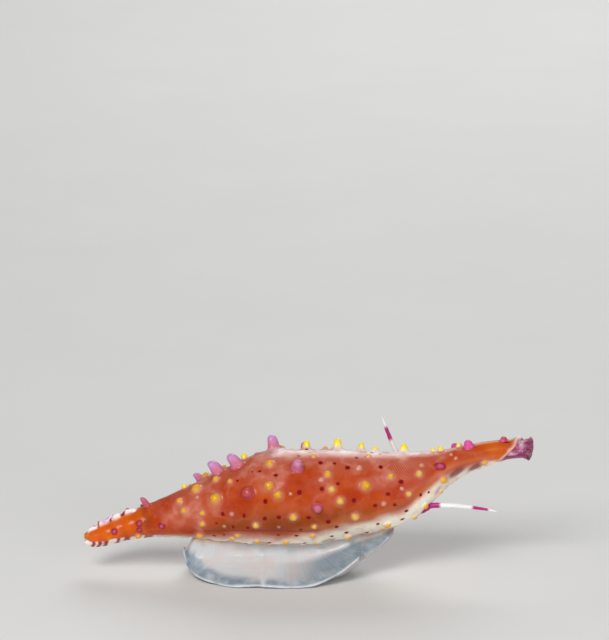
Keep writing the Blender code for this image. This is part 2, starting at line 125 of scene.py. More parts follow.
def noise(points: Array, size: float, seed: int) -> Array:
    """Smooth random heights from -1 to 1.

    Args:
        points: Places, one row each.
        size: Rough width of a lump.
        seed: Picks the pattern.

    Returns:
        The height at each place.
    """
    scaled = points / size + 31.7 * seed
    cell = np.floor(scaled).astype(np.int64)
    part = scaled - cell
    part = part * part * (3 - 2 * part)
    total = np.zeros(len(points))
    for corner in range(8):
        step = np.array([corner & 1, corner >> 1 & 1, corner >> 2 & 1])
        key = (cell + step) * np.array([73856093, 19349663, 83492791])
        mixed = np.bitwise_xor.reduce(key, axis=1) & 0xFFFFFFFF
        mixed = (mixed ^ (mixed >> 13)) * 1274126177 & 0xFFFFFFFF
        mixed = (mixed ^ (mixed >> 16)) & 0xFFFF
        total += np.prod(np.where(step == 1, part, 1 - part), axis=1) * (mixed / 0x7FFF - 1.0)
    return total


def unit(vectors: Array) -> Array:
    """Each row at length 1."""
    return vectors / np.maximum(np.linalg.norm(vectors, axis=-1, keepdims=True), 1e-9)


def mirrored(turn: Array) -> Array:
    """Turns in degrees, those of the left flank brought over to the right."""
    return np.minimum(np.degrees(turn), 180 - np.degrees(turn))


def paint(*screen: int) -> Paint:
    """A colour for a shader, from red, green and blue on a screen, 0 to 255."""
    share = [value / 255 for value in screen]
    return (*(s / 12.92 if s <= 0.04045 else ((s + 0.055) / 1.055) ** 2.4 for s in share), 1.0)


def add(name: str, data: bpy.types.ID) -> bpy.types.Object:
    """A new object in the scene."""
    made = bpy.data.objects.new(name, data)
    bpy.context.scene.collection.objects.link(made)
    return made


def mesh_of(name: str, points: Array, faces: Sequence[Sequence[int]]) -> bpy.types.Mesh:
    """A mesh.

    Args:
        name: Its name.
        points: Vertex places.
        faces: Vertex numbers of each face.

    Returns:
        The mesh, on no object yet.
    """
    mesh = bpy.data.meshes.new(name)
    mesh.from_pydata(np.asarray(points).tolist(), [], faces)
    return mesh


def skin_of(name: str, form: Form) -> bpy.types.Object:
    """A smooth-shaded object.

    Args:
        name: Its name.
        form: Its points, in millimetres, and its faces.

    Returns:
        The object, in the scene.
    """
    mesh = mesh_of(name, form[0] * MM, form[1])
    mesh.validate()
    mesh.shade_smooth()
    return add(name, mesh)


def dress(
    piece: bpy.types.Object, masks: Masks, material: bpy.types.Material, nodes: Sequence[str]
) -> None:
    """Finishes a piece and puts it on the animal.

    Args:
        piece: The piece, in place.
        masks: Numbers for each vertex, for the shader to read.
        material: What it is painted with.
        nodes: Names of the solids that it stands for.
    """
    for name, values in masks.items():
        mask = piece.data.attributes.new(name, "FLOAT", "POINT")
        mask.data.foreach_set("value", np.asarray(values, np.float32))
    piece.data.materials.append(material)
    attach(piece, "root")
    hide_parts(*nodes)
    triangles = sum(len(face.vertices) - 2 for face in piece.data.polygons)
    log.info("%s: %d triangles, stands for %s", piece.name, triangles, ", ".join(nodes))


def closed_tube(rows: Sequence[Array]) -> Form:
    """A tube through rings of points, closed by a fan at each end.

    Args:
        rows: Rings with the same count of points.

    Returns:
        Its points and faces.
    """
    count, last = len(rows[0]), (len(rows) - 1) * len(rows[0])
    points = np.concatenate([*rows, [rows[0].mean(0)], [rows[-1].mean(0)]])
    pairs = [(j, (j + 1) % count) for j in range(count)]
    faces = [[i + j, i + k, i + count + k, i + count + j] for i in range(0, last, count) for j, k in pairs]
    for j, k in pairs:
        faces += [[len(points) - 2, k, j], [len(points) - 1, last + j, last + k]]
    return points, faces


def globe(
    centre: Sequence[float],
    radii: Sequence[float],
    turn: Array,
    rings: int = 32,
    count: int = 48,
    bulge: float = 0.0,
) -> Form:
    """An ellipsoid, turned about its centre.

    Args:
        centre: Its middle.
        radii: Its three radii before it is turned.
        turn: The turn, as a matrix.
        rings: Steps from pole to pole.
        count: Points of a ring.
        bulge: How much further the upper pole stands out, as a share of the radius.

    Returns:
        Its points and faces.
    """
    angle, rows = np.linspace(0, TAU, count, endpoint=False), []
    ways = (np.cos(angle), np.sin(angle))
    for polar in np.arange(1, rings) / rings * math.pi:
        far = -radii[2] * (1 + bulge * bell(math.pi - polar, 0, 0.75)) * math.cos(polar)
        flat = [radius * math.sin(polar) * way for radius, way in zip(radii, ways)]
        rows.append(np.stack([*flat, np.full(count, far)], axis=1) @ turn.T + np.array(centre))
    return closed_tube(rows)


@dataclass(frozen=True)
class Body:
    """The spindle that the mantle covers, as the solids have it: station, height and radius."""

    stations: Table = (
        (-20.05, 3.45, 0.42), (-19.5, 3.52, 0.8), (-18.5, 3.78, 1.08), (-16, 4.65, 1.36),
        (-13.6, 5.36, 1.68), (-9.7, 6.2, 2.65), (-5.8, 7.05, 3.68), (-2, 7.88, 4.5), (2, 7.95, 4.52),
        (6, 8.13, 4.24), (10, 8.42, 3.8), (12, 8.82, 3.38), (13.8, 9.68, 2.66), (15.7, 10.85, 1.82),
        (18.7, 12.02, 1.27), (21.6, 12.55, 1.12), (22.9, 12.62, 1.09), (23.5, 12.64, 1.24),
    )
    width: float = 1.03

    def bottom(self, x: Array) -> Array:
        """Height of the lowest line of the body."""
        return np.subtract(*np.moveaxis(through(self.stations, x), -1, 0))


@dataclass(frozen=True)
class Foot:
    """The foot's outline, as the solids have it: station, half width, margin and sole."""

    stations: Table = (
        (-10.4, 0.45, 2.05, 1.85), (-10, 1.75, 1.05, 0.85), (-9, 3.15, 0.42, 0.18), (-7.4, 4.3, 0.12, 0),
        (-5.8, 5.05, 0, 0), (-3, 5.35, 0.14, 0), (0.5, 5.5, 0, 0), (2.4, 5.15, 0.15, 0),
        (3.8, 4.8, 0.62, 0), (5.2, 4.3, 1.28, 0.2), (7, 3.45, 2.5, 1.45), (8.8, 2.5, 3.32, 2.7),
        (9.8, 1.75, 4.05, 3.55), (10.25, 1.2, 4.45, 4.15),
    )
    # Column over the sole: its half width, the most of that as a share of the foot's, and how far it is
    # drawn into the body
    column: float = 1.35
    column_share: float = 0.62
    column_rise: float = 0.8
    # Where the rear comes free of the body, over what length, and its height over the margin there
    free_from: float = -9.2
    free_over: float = 0.85
    free_height: float = 1.2

    def neck(self, x: Array) -> Array:
        """Half the width of the column above the sole."""
        return np.minimum(self.column, self.column_share * curve(self.stations, x))

    def top(self, x: Array, body: Body) -> Array:
        """Height of the column's top.

        Args:
            x: Stations.
            body: The body over the foot.

        Returns:
            The height at each.
        """
        top = body.bottom(x) + self.column_rise
        free = np.maximum(0.0, (self.free_from - x) / self.free_over)
        return top - free * (top - curve(self.stations, x, 1) - self.free_height)


class Kind(Enum):
    """Kinds of papilla: mask, reach over the skin in its own radii, and spacing of the points on it."""

    YELLOW = ("yellow", 1.7, 0.08)
    TALL = ("yellow", 1.8, 0.07)
    PINK = ("pink", 1.6, 0.06)
    DISC = ("disc", 1.5, 0.08)
    PALE = ("pale_bump", 1.8, 0.10)

    def __init__(self, mask: str, spread: float, fine: float) -> None:
        """Keeps the three values by name."""
        self.mask, self.spread, self.fine = mask, spread, fine


# Share of that reach, then the radius and height there as shares of the reach and of the full height
PROFILE = {
    Kind.YELLOW: (
        (0, 0, 1), (0.15, 0.22, 0.96), (0.3, 0.4, 0.84), (0.45, 0.53, 0.62), (0.6, 0.64, 0.36),
        (0.78, 0.78, 0.12), (1, 1, 0),
    ),
    Kind.TALL: (
        (0, 0, 1), (0.13, 0.2, 0.97), (0.26, 0.37, 0.89), (0.38, 0.49, 0.74), (0.5, 0.56, 0.52),
        (0.63, 0.64, 0.28), (0.8, 0.79, 0.09), (1, 1, 0),
    ),
    Kind.PINK: (
        (0, 0, 1), (0.1, 0.21, 0.978), (0.2, 0.38, 0.92), (0.3, 0.5, 0.82), (0.42, 0.57, 0.65),
        (0.54, 0.62, 0.45), (0.66, 0.67, 0.26), (0.78, 0.74, 0.12), (0.9, 0.86, 0.025), (1, 1, 0),
    ),
    Kind.DISC: (
        (0, 0, 0.95), (0.16, 0.16, 0.7), (0.34, 0.34, 0.98), (0.46, 0.46, 0.78), (0.58, 0.58, 1),
        (0.7, 0.7, 0.7), (0.82, 0.82, 0.2), (0.91, 0.91, 0.03), (1, 1, 0),
    ),
    Kind.PALE: ((0, 0, 1), (0.25, 0.27, 0.88), (0.5, 0.5, 0.5), (0.75, 0.74, 0.13), (1, 1, 0)),
}


@dataclass(frozen=True)
class Papilla:
    """One papilla: its place on the body, its own radius, height, lean and tint.

    The tint is how pale a yellow one is, and how lilac the tip of a pink one is.
    """

    x: float
    turn: float
    radius: float
    height: float
    kind: Kind
    lean: float = 0.0
    tint: float = 0.0
    narrow: float = 1.0

    @property
    def reach(self) -> float:
        """How far from its axis it raises the skin."""
        return self.radius * self.kind.spread

    def crowds(self, x: float, turn: float, gap: float = 0.55, body: float = 3.6) -> bool:
        """Whether a place is nearer to its foot than a gap, on a body of about that radius."""
        around = math.radians((turn - self.turn + 180) % 360 - 180) * body
        return math.hypot(x - self.x, around) <= self.radius + gap


@dataclass
class Papillae:
    """All the papillae of the mantle."""

    seed: int = 7
    # Yellow, right flank: station, turn, radius, how pale
    yellow: Table = (
        (-9.03, 65, 0.4, 0), (-7.1, 69, 0.3, 0.1), (-5.74, 54, 0.19, 0.2), (-10.68, 50, 0.24, 0.1),
        (-10.25, 23, 0.25, 0.2), (-7.17, 31, 0.43, 0), (-8.46, 10, 0.22, 0.3), (-8.46, -12, 0.24, 0.2),
        (-8.75, -44, 0.29, 0), (-3.22, -21, 0.27, 0.6), (0.43, -11, 0.32, 0.4), (-1.93, 30, 0.36, 0),
        (-1.07, 18, 0.34, 0), (-1.86, 61, 0.34, 0.1), (-5.52, -48, 0.23, 0), (-5.02, -41, 0.23, 0.1),
        (-3.08, -54, 0.25, 0), (-0.33, -55, 0.3, 0), (-14.77, -43, 0.24, 0.1), (2.39, 74, 0.23, 0.3),
        (7.74, 76, 0.23, 0.5), (3.73, 44, 0.28, 0.1), (4.12, 24, 0.29, 0.6), (7.43, 27, 0.38, 0.1),
        (4.96, 8, 0.31, 0.6), (9.87, 39, 0.25, 0.2), (12.65, 36, 0.27, 0.6), (11.64, 7, 0.25, 0.6),
        (6.41, -16, 0.33, 0.5), (15.02, -9, 0.33, 0), (14.76, -43, 0.22, 0.3), (13.2, -38, 0.32, 0),
        (12.23, -51, 0.26, 0.1), (9.58, -42, 0.31, 0), (9.19, -52, 0.2, 0), (5.74, -57, 0.29, 0.3),
        (2.44, -26, 0.22, 0.5), (2.28, -44, 0.26, 0.2), (2.75, -59, 0.23, 0.2), (19.07, -30, 0.25, 0.2),
    )
    # Their height in radii, the highest turn that the left flank repeats, its shift along the body, and
    # how far its places scatter in station and in turn
    yellow_height: float = 1.25
    left_highest: float = 75
    left_shift: float = 1.05
    left_scatter: tuple[float, float] = (0.3, 3)
    # The row on the outline of the back: station, turn, radius, height
    crest: Table = (
        (-10.2, 98, 0.26, 0.42), (-4.3, 101, 0.3, 0.6), (1.7, 106, 0.34, 0.88), (4.7, 106, 0.4, 1.06),
        (7.05, 106, 0.29, 0.74), (8.4, 106, 0.28, 0.44), (11.2, 104, 0.36, 0.78), (14.05, 97, 0.24, 0.34),
        (14.8, 92, 0.27, 0.44), (16.6, 98, 0.27, 0.42),
    )
    # Pink fingers: station, turn, radius, height, lean towards the tail, how lilac the tip is
    fingers: Table = (
        (-6.9, 90, 0.57, 1.42, 0.2, 1), (-5, 82, 0.57, 1.48, 0.15, 0.8), (-1.5, 104, 0.54, 1.42, 0.06, 1),
        (0.8, 53, 0.5, 1.1, 0, 0.4), (-4, 26, 0.5, 0.6, 0.05, 0), (2.75, 1, 0.42, 0.55, 0, 0.2),
        (-13.9, 84, 0.3, 1.05, 0.16, 0.2), (17.5, 79, 0.44, 0.66, 0, -1), (20.9, 88, 0.32, 0.34, 0, -1),
        (-19, 86, 0.16, 0.26, 0.1, 0.3), (-4.4, 148, 0.46, 1.4, 0.3, 0.9),
        (1.6, 134, 0.46, 1.25, 0.1, 0.6), (-8.6, 128, 0.42, 1.05, 0.3, 0.9), (7.4, 160, 0.42, 0.8, 0, 0.2),
        (16.2, 128, 0.36, 0.55, 0, -1), (-14.9, 150, 0.24, 0.42, 0, 0),
    )
    # Flat magenta discs: station, turn, radius, height, and how much narrower they are round the body
    discs: Table = (
        (14.68, 33, 0.47, 0.16, 1.35), (-17.07, 12, 0.27, 0.12, 1), (-14.63, 14, 0.27, 0.12, 1),
        (-14.63, -12, 0.22, 0.08, 1), (-12.41, -8, 0.3, 0.14, 1), (-16.4, 174, 0.28, 0.12, 1),
        (15.6, 150, 0.42, 0.16, 1.3), (-12.9, 188, 0.3, 0.12, 1),
    )
    # Low pale bumps, right flank: station, turn, radius; and their true radius and height as shares of it
    bumps: Table = (
        (-5.59, 1, 0.2), (-6.31, -19, 0.17), (-1, -26, 0.15), (0.15, 19, 0.14), (-8.96, 45, 0.15),
        (9.19, -1, 0.22), (10.97, 18, 0.19), (6.8, 53, 0.27), (3.14, 37, 0.22), (12.88, 52, 0.19),
        (15.77, 57, 0.16), (16.24, 38, 0.16), (21, 82, 0.11),
    )
    bump_shares: tuple[float, float] = (0.88, 0.42)
    # Small pale bumps: how many, and between which stations, turns and radii
    small: int = 44
    small_between: Table = ((-11.5, 14.5), (100, 236), (0.14, 0.26))

    def all(self) -> list[Papilla]:
        """Every papilla, those of the left flank mirrored from the right and shifted by a seeded draw."""
        draw, found = random.Random(self.seed), []
        for x, turn, radius, pale in self.yellow:
            places = [(x, turn, radius)]
            if turn < self.left_highest:
                along, sideways = (far * draw.uniform(-1, 1) for far in self.left_scatter)
                size = radius * draw.uniform(0.85, 1.15)
                places.append((x + self.left_shift + along, 180 - turn + sideways, size))
            for at, around, size in places:
                found.append(Papilla(at, around, size, self.yellow_height * size, Kind.YELLOW, 0.0, pale))
        found += [Papilla(*row, Kind.TALL) for row in self.crest]
        found += [Papilla(*row[:4], Kind.PINK, *row[4:]) for row in self.fingers]
        found += [Papilla(*row[:4], Kind.DISC, narrow=row[4]) for row in self.discs]
        wide, high = self.bump_shares
        found += [Papilla(x, turn, wide * size, high * size, Kind.PALE) for x, turn, size in self.bumps]
        return found + self.pale(found)

    def pale(self, taken: Sequence[Papilla]) -> list[Papilla]:
        """Low pale bumps in the room that the others leave on the back and the left flank.

        Args:
            taken: The others.

        Returns:
            The bumps.
        """
        draw, found = random.Random(self.seed + 1), []
        while len(found) < self.small:
            x, turn, size = (draw.uniform(*ends) for ends in self.small_between)
            if not any(other.crowds(x, turn) for other in [*taken, *found]):
                found.append(Papilla(x, turn, size, 0.5 * size, Kind.PALE))
        return found


@dataclass
class Spots:
    """Dark red spots of the mantle, each the end of a small muscle."""

    seed: int = 3
    # Right flank: station, turn, half length, half height
    places: Table = (
        (1.01, 21, 0.26, 0.27), (-2.29, 11, 0.22, 0.25), (-6.45, 3, 0.19, 0.23), (-4.37, -4, 0.16, 0.25),
        (-2.36, -12, 0.22, 0.23), (-1, -11, 0.23, 0.25), (-5.45, -21, 0.14, 0.2), (-4.01, -25, 0.16, 0.22),
        (-7.31, -43, 0.2, 0.15), (-6.34, -39, 0.13, 0.14), (-4.23, -62, 0.2, 0.17),
        (-1.93, -57, 0.2, 0.15), (-1.04, -42, 0.18, 0.17), (0.72, -44, 0.2, 0.16), (1.15, -32, 0.2, 0.18),
        (1.51, -60, 0.2, 0.16), (1.01, -67, 0.13, 0.14), (-2.87, 53, 0.19, 0.13), (-1.29, 43, 0.23, 0.16),
        (-5.02, 50, 0.14, 0.12), (-3.58, 56, 0.1, 0.1), (0.94, 76, 0.17, 0.17), (-7.07, -12, 0.14, 0.13),
        (3.17, 25, 0.22, 0.22), (4.74, 31, 0.22, 0.18), (3.06, 62, 0.23, 0.24), (4.43, 61, 0.16, 0.16),
        (5.68, 54, 0.25, 0.24), (6.57, 73, 0.19, 0.18), (8.91, 55, 0.23, 0.23), (8.08, 89, 0.19, 0.19),
        (2.05, 86, 0.11, 0.12), (6.29, 8, 0.23, 0.25), (9.61, 13, 0.25, 0.2), (10.89, 29, 0.25, 0.22),
        (8.36, -2, 0.22, 0.18), (10.26, -5, 0.19, 0.17), (12.81, -5, 0.16, 0.18), (13.59, -11, 0.14, 0.14),
        (11.4, -22, 0.2, 0.17), (11.04, -39, 0.22, 0.17), (1.89, -12, 0.23, 0.21), (3.81, -20, 0.25, 0.25),
        (4.62, -31, 0.19, 0.19), (5.59, -47, 0.2, 0.18), (4.18, -50, 0.17, 0.16), (8.64, -36, 0.16, 0.19),
        (7.58, -55, 0.2, 0.16), (4.23, -67, 0.2, 0.12), (21.2, 62, 0.26, 0.11),
    )

    def all(self) -> Table:
        """Station, turn, half length and half height of each spot on both flanks."""
        draw, found = random.Random(self.seed), []
        for x, turn, along, across in self.places:
            at, size = x + (0.7 + draw.uniform(-0.5, 0.5)), draw.uniform(0.85, 1.15)
            other = (at, 180 - turn + draw.uniform(-6, 6), along * size, across * size)
            found += [(x, turn, along, across), other]
        return found


@dataclass(frozen=True)
class Seat:
    """A place on the skin: where it is, and the directions forward, round and out of the skin there."""

    root: Array
    ahead: Array
    across: Array
    out: Array

    def flat(self, points: Array) -> tuple[Array, Array]:
        """Offsets over the skin, forward and round; those of the far side are put far away."""
        local = points - self.root
        return local @ self.ahead + 9.0 * (local @ self.out < -1.6), local @ self.across


class PatchGrid:
    """A closed skin of rectangular cells on a lattice, small only where the detail needs it.

    Columns wrap round. All of the first row is one point, and all of the last row another.
    """

    def __init__(self, rows: int, columns: int, block: int) -> None:
        """Starts with square blocks.

        Args:
            rows: Lattice steps from the first end to the last.
            columns: Lattice steps round the skin.
            block: Steps along a block's side.
        """
        self.rows, self.columns = rows, columns
        i, j = np.meshgrid(np.arange(0, rows, block), np.arange(0, columns, block), indexing="ij")
        size = np.full(i.size, block)
        self.cells = np.stack([i.ravel(), j.ravel(), size, size], axis=1)

    def refine(self, too_long: Callable[[Array], tuple[Array, Array]]) -> None:
        """Halves cells until none is too long.

        Args:
            too_long: Says for each cell whether it is too long along the rows' and the columns' axis.
        """
        busy = True
        while busy:
            busy = False
            for axis in (0, 1):
                which = too_long(self.cells)[axis] & (self.cells[:, 2 + axis] > 1)
                if which.any():
                    busy = True
                    near = self.cells[which].copy()
                    near[:, 2 + axis] //= 2
                    far = near.copy()
                    far[:, axis] += near[:, 2 + axis]
                    self.cells = np.concatenate([self.cells[~which], near, far])

    def faces(self) -> tuple[Array, list[list[int]], Array]:
        """The mesh of the cells.

        Returns:
            The lattice place of each vertex, the faces, and the lattice place of each face corner.
        """
        used = np.zeros((self.rows + 1, self.columns + 1), bool)
        for di, dj in ((0, 0), (0, 1), (1, 0), (1, 1)):
            row, column = (self.cells[:, k] + step * self.cells[:, 2 + k] for k, step in ((0, di), (1, dj)))
            used[row, column] = True
        used[:, 0] |= used[:, -1]
        used[:, -1] = used[:, 0]
        used[0, 1:] = used[-1, 1:] = False
        used[0, 0] = used[-1, 0] = True
        number = np.full(used.shape, -1)
        number[:, :-1][used[:, :-1]] = np.arange(used[:, :-1].sum())
        number[:, -1] = number[:, 0]
        number[[0, -1]] = number[[0, -1], :1]
        index, seen = number.tolist(), used.tolist()
        for row in (0, self.rows):
            seen[row] = [True] * (self.columns + 1)
        faces, corners = [], []
        for i, j, di, dj in self.cells.tolist():
            ring = [(i + k, j) for k in range(di)] + [(i + di, j + k) for k in range(dj)]
            ring += [(i + di - k, j + dj) for k in range(di)] + [(i, j + dj - k) for k in range(dj)]
            face = {}
            for a, b in ring:
                if seen[a][b]:
                    face.setdefault(index[a][b], (a, b))
            faces.append(list(face))
            corners.extend(face.values())
        return np.argwhere(used[:, :-1]), faces, np.array(corners, float)


@dataclass
class MantleSkin:
    """The whole mantle, one closed skin from the tail's tip to the bore of the siphon."""

    body: Body = field(default_factory=Body)
    foot: Foot = field(default_factory=Foot)
    papillae: list[Papilla] = field(default_factory=lambda: Papillae().all())
    spots: Table = field(default_factory=lambda: Spots().all())
    # Lattice step along the skin, steps round it and in the largest cell, and longest side of a plain cell
    step: float = 0.0375
    columns: int = 704
    block: int = 8
    spacing: float = 0.17
    # Tail's pit and siphon's bore: distance along the skin, station and radius
    pit: Table = (
        (0, -19.2, 0), (0.25, -19.25, 0.2), (0.7, -19.7, 0.33), (1, -19.95, 0.37), (1.12, -20.03, 0.4),
        (1.25, -20, 0.44),
    )
    bore: Table = (
        (0, 23.4, 1.18), (0.1, 23.48, 1.13), (0.22, 23.4, 1.06), (0.7, 23, 0.93), (1.3, 22.45, 0.74),
        (1.9, 21.9, 0.58), (2.5, 21.35, 0.46), (2.75, 21.15, 0.3), (3.05, 21.1, 0),
    )
    # Edge of the mantle over the siphon: sine of the turn, station
    lip: Table = ((-1, 18.9), (-0.85, 19.9), (-0.5, 20.7), (0, 21.4), (0.5, 22), (1, 22.3))
    # Upper bound of the pale strip: station, turn
    pale_from: Table = (
        (-14, -46), (-9.5, -34), (-5.8, -31), (-2, -34), (1.7, -32), (4, -27), (6.8, -21), (8.7, -17),
        (10.4, -12), (11.6, -7), (12.6, 1), (13.5, 8), (14.4, 10), (15.6, 6), (16.6, 1), (17.8, -7),
        (19, -14), (20.2, -20), (21.2, -32),
    )
    # How far the mantle's edge hangs below the round form over the foot: station, depth
    skirt: Table = (
        (-10.2, 0), (-8.75, 0.16), (-5.5, 0.22), (-3, 0.34), (0, 0.43), (2.75, 0.48), (5, 0.28),
        (7.5, 0.12), (10, 0.04), (13, 0),
    )
    # Slant of the siphon's rim in degrees, and depth of the groove where the mantle ends over the siphon
    rim_slant: float = 20.0
    lip_depth: float = 0.15
    # Slot for the foot's column: room on each side, and its height over the body's lowest line
    gap: float = 0.28
    slot_rise: float = 0.95
    # Hollow for the head: station of its middle, half its length, half its width at roof and edge
    hollow_at: float = 11.5
    hollow_half: float = 1.95
    hollow_roof: float = 2.25
    hollow_edge: float = 2.2
    # Height of its edge, and of its dome over that
    hollow_low: float = 6.7
    hollow_rise: float = 1.3
    # Frill of the tail: station, turn, half length and height of each lobe
    frill_right: Table = (
        (-19.3, 70, 0.55, 0.34), (-18.1, 74, 0.75, 0.5), (-16.85, 77, 0.6, 0.56), (-15.55, 79, 0.75, 0.56),
    )
    frill_left: Table = (
        (-18.7, 150, 0.66, 0.75), (-17.4, 157, 0.8, 1.1), (-15.9, 162, 0.9, 1.35), (-14.3, 158, 0.8, 1),
    )
    # Section of the frill: share of its half width, then the width and height there as shares
    frill_section: Table = ((0, 0, 1), (0.2, 0.16, 0.9), (0.45, 0.21, 0.55), (0.7, 0.36, 0.14), (1, 1, 0))
    frill_half: float = 0.62
    # White lengths of the tail's crest and lower margin, and the turn where that margin starts, by station
    crest_white: Table = ((-19.8, -18.65), (-18.42, -17.6), (-17.3, -16.42), (-15.95, -14.95))
    under_white: Table = (
        (-20.2, -19.45), (-19.1, -18.85), (-17.75, -16.95), (-16.62, -16.2), (-15.55, -14.9),
        (-14.5, -14.15), (-13.3, -9), (-18.42, -18.2),
    )
    under_from: Table = (
        (-20, -6), (-18.5, -12), (-17.5, -20), (-16.4, -31), (-14.7, -40), (-12.6, -44), (-11, -66),
    )
    # Pale bands that cross the spout on the left: station, half width
    spout_bands: Table = ((15, 0.34), (16.7, 0.2), (18.3, 0.3), (20, 0.26), (21.3, 0.22))
    # Red smudges of the front: strength, drift with the clouds, station, half length, turn, half height
    smudges: Table = (
        (1.5, 0.2, 16.3, 0.85, -14, 16), (1.9, 0.2, 18.2, 0.66, -36, 19), (0.5, 0.3, 14.7, 0.35, -28, 16),
    )
    # Seats of the papillae and of the spots, found before the skin is made
    seats: list[Seat] = field(init=False)
    spot_seats: list[Seat] = field(init=False)

    def along_skin(self, reach: Array) -> tuple[Array, Array, Array]:
        """Reads distances from the end of the pit.

        Args:
            reach: Distances along the skin.

        Returns:
            Station, radius, and 0 outside, 1 in the tail's pit or 2 in the siphon's bore.
        """
        first, last = self.pit[-1][0], self.bore[0][1]
        outside = first + last - self.pit[-1][1]
        x = self.pit[-1][1] + reach - first
        radius = curve(self.body.stations, x, 1) * 0.995 - 0.02
        meets = bell(reach, first, 0.3)
        radius = radius * (1 - meets) + meets * np.maximum(radius, self.pit[-1][2])
        tail, bore = through(self.pit, reach), through(self.bore, reach - outside)
        ends = [reach < first, reach > outside]
        x = np.select(ends, [tail[..., 0], bore[..., 0]], x)
        radius = np.select(ends, [tail[..., 1], bore[..., 1]], radius)
        return x, radius, np.select(ends, [1.0, 2.0], 0.0)

    @property
    def length(self) -> float:
        """Distance along the skin from the end of the pit to the end of the bore."""
        return self.pit[-1][0] + self.bore[0][1] - self.pit[-1][1] + self.bore[-1][0]

    def turn_at(self, column: Array) -> Array:
        """Turn in radians at a column of the lattice, from -90 to 270 degrees."""
        return column / self.columns * TAU - math.pi / 2

    def plain(self, reach: Array, turn: Array) -> Array:
        """The body's own round form, cut at a slant at the siphon's rim.

        Args:
            reach: Distances along the skin.
            turn: Turns in radians.

        Returns:
            The points.
        """
        x, radius, _ = self.along_skin(reach)
        y = -self.body.width * radius * np.cos(turn)
        z = curve(self.body.stations, x) + radius * np.sin(turn)
        slant = math.tan(math.radians(self.rim_slant)) * ramp(22.4, 23.5, x)
        return np.stack([x + slant * y, y, z], axis=-1)

    def normal(self, reach: Array, turn: Array) -> Array:
        """Outward directions of the round form.

        Args:
            reach: Distances along the skin.
            turn: Turns in radians.

        Returns:
            A direction for each place.
        """
        ahead = self.plain(reach + 0.03, turn) - self.plain(reach - 0.03, turn)
        around = self.plain(reach, turn + 0.02) - self.plain(reach, turn - 0.02)
        return unit(np.cross(ahead, around))

    def hollow(self, x: Array, y: Array | float = 0.0) -> Array:
        """Height of the dome over the head as a share, 0 outside it."""
        far = ((x - self.hollow_at) / self.hollow_half) ** 2 + (y / self.hollow_roof) ** 2
        return np.sqrt(np.clip(1 - far, 0, 1))

    def room_below(self, points: Array) -> Array:
        """How far the underside is drawn up round the foot's column and the head.

        Args:
            points: Places on the skin.

        Returns:
            The lift of each.
        """
        x, y, z = points.T
        slot = (self.foot.neck(x) + self.gap) * span(x, -10.2, -9.6, 10.2, 10.9)
        wide = np.maximum(slot, self.hollow_edge * self.hollow(x))
        over_slot = (self.body.bottom(x) + self.slot_rise) * (slot > 0.3)
        ceiling = np.maximum(over_slot, self.hollow_low + self.hollow_rise * self.hollow(x, y))
        low = z < curve(self.body.stations, x)
        lift = np.maximum(ceiling - z, 0.0) * ramp(0.0, 0.42, wide - np.abs(y))
        return np.where(low & (wide > 0.05), lift, 0.0)

    def lip_station(self, turn: Array) -> Array:
        """Station of the mantle's edge over the siphon, with its white tip on the back."""
        return curve(self.lip, np.sin(turn)) + 0.45 * bell(np.degrees(turn), 103, 17)

    @staticmethod
    def slant(points: Array, x: Array, folded: Array) -> Array:
        """Phase of the slanting folds of the tail."""
        return 5.2 * x + 0.05 * folded + 1.5 * noise(points, 1.6, 3)

    def crease(self, x: Array) -> Array:
        """Turn of the crease along the pale strip."""
        return curve(self.pale_from, x) + 2 - 6 * ramp(-1.5, 1.7, x)

    def shape(self, reach: Array, turn: Array) -> Array:
        """The skin without its papillae: the round form with slits, lips, folds and soft lumps.

        Args:
            reach: Distances along the skin.
            turn: Turns in radians.

        Returns:
            The points.
        """
        points, out = self.plain(reach, turn), self.normal(reach, turn)
        x, _, inside = self.along_skin(reach)
        outer, y, folded = inside == 0, points[:, 1], mirrored(turn)
        slit = -0.42 * bell(y, 0, 0.13) + 0.10 * bell(np.abs(y), 0.34, 0.16)
        slit += 0.03 * bell(y, 0, 0.5) * np.sin(5.2 * x)
        move = slit * (ramp(-9.6, -10.4, x) + span(x, 13.6, 14.4, 20.6, 21.4)) * (np.sin(turn) < -0.5)
        past = x - self.lip_station(turn)
        move -= self.lip_depth * ramp(-0.05, 0.10, past)
        tip = bell(np.degrees(turn), 100, 20)
        move += 0.07 * bell(past, -0.22, 0.2) + 0.24 * tip * bell(past, -0.3, 0.3)
        soft = 0.050 * noise(points, 2.3, 1) + 0.020 * noise(points, 0.9, 2) - 0.03
        move += soft * ramp(0.5, 1.6, curve(self.body.stations, x, 1))
        move -= 0.08 * bell(folded, self.crease(x), 2.2) * span(x, -12, -8, 2, 6)
        scallop = 0.05 * np.sin(2.6 * x) + 0.03 * np.sin(5.9 * x + 1)
        move += scallop * bell(folded, -62, 13) * span(x, -9.5, -8, 12, 14)
        folds = span(x, -20, -18.5, -14.0, -12.2) * ramp(-50, -20, folded)
        move += 0.026 * np.sin(self.slant(points, x, folded)) * folds
        pleats = 0.022 * np.cos(22 * turn) + 0.016 * np.cos(9 * turn + 1.0)
        move = move * outer + ramp(22.3, 23.4, x) * pleats * (inside != 1)
        points = points + out * move[:, None]
        points[:, 2] -= curve(self.skirt, x) * ramp(-40, -64, folded) * outer
        end = ramp(-19.2, -20.0, x) * (inside < 2)
        points[:, 0] += end * (0.25 * bell(np.sin(turn), -0.2, 0.3) - 0.05)
        points[:, 2] += self.room_below(points) * outer
        return points

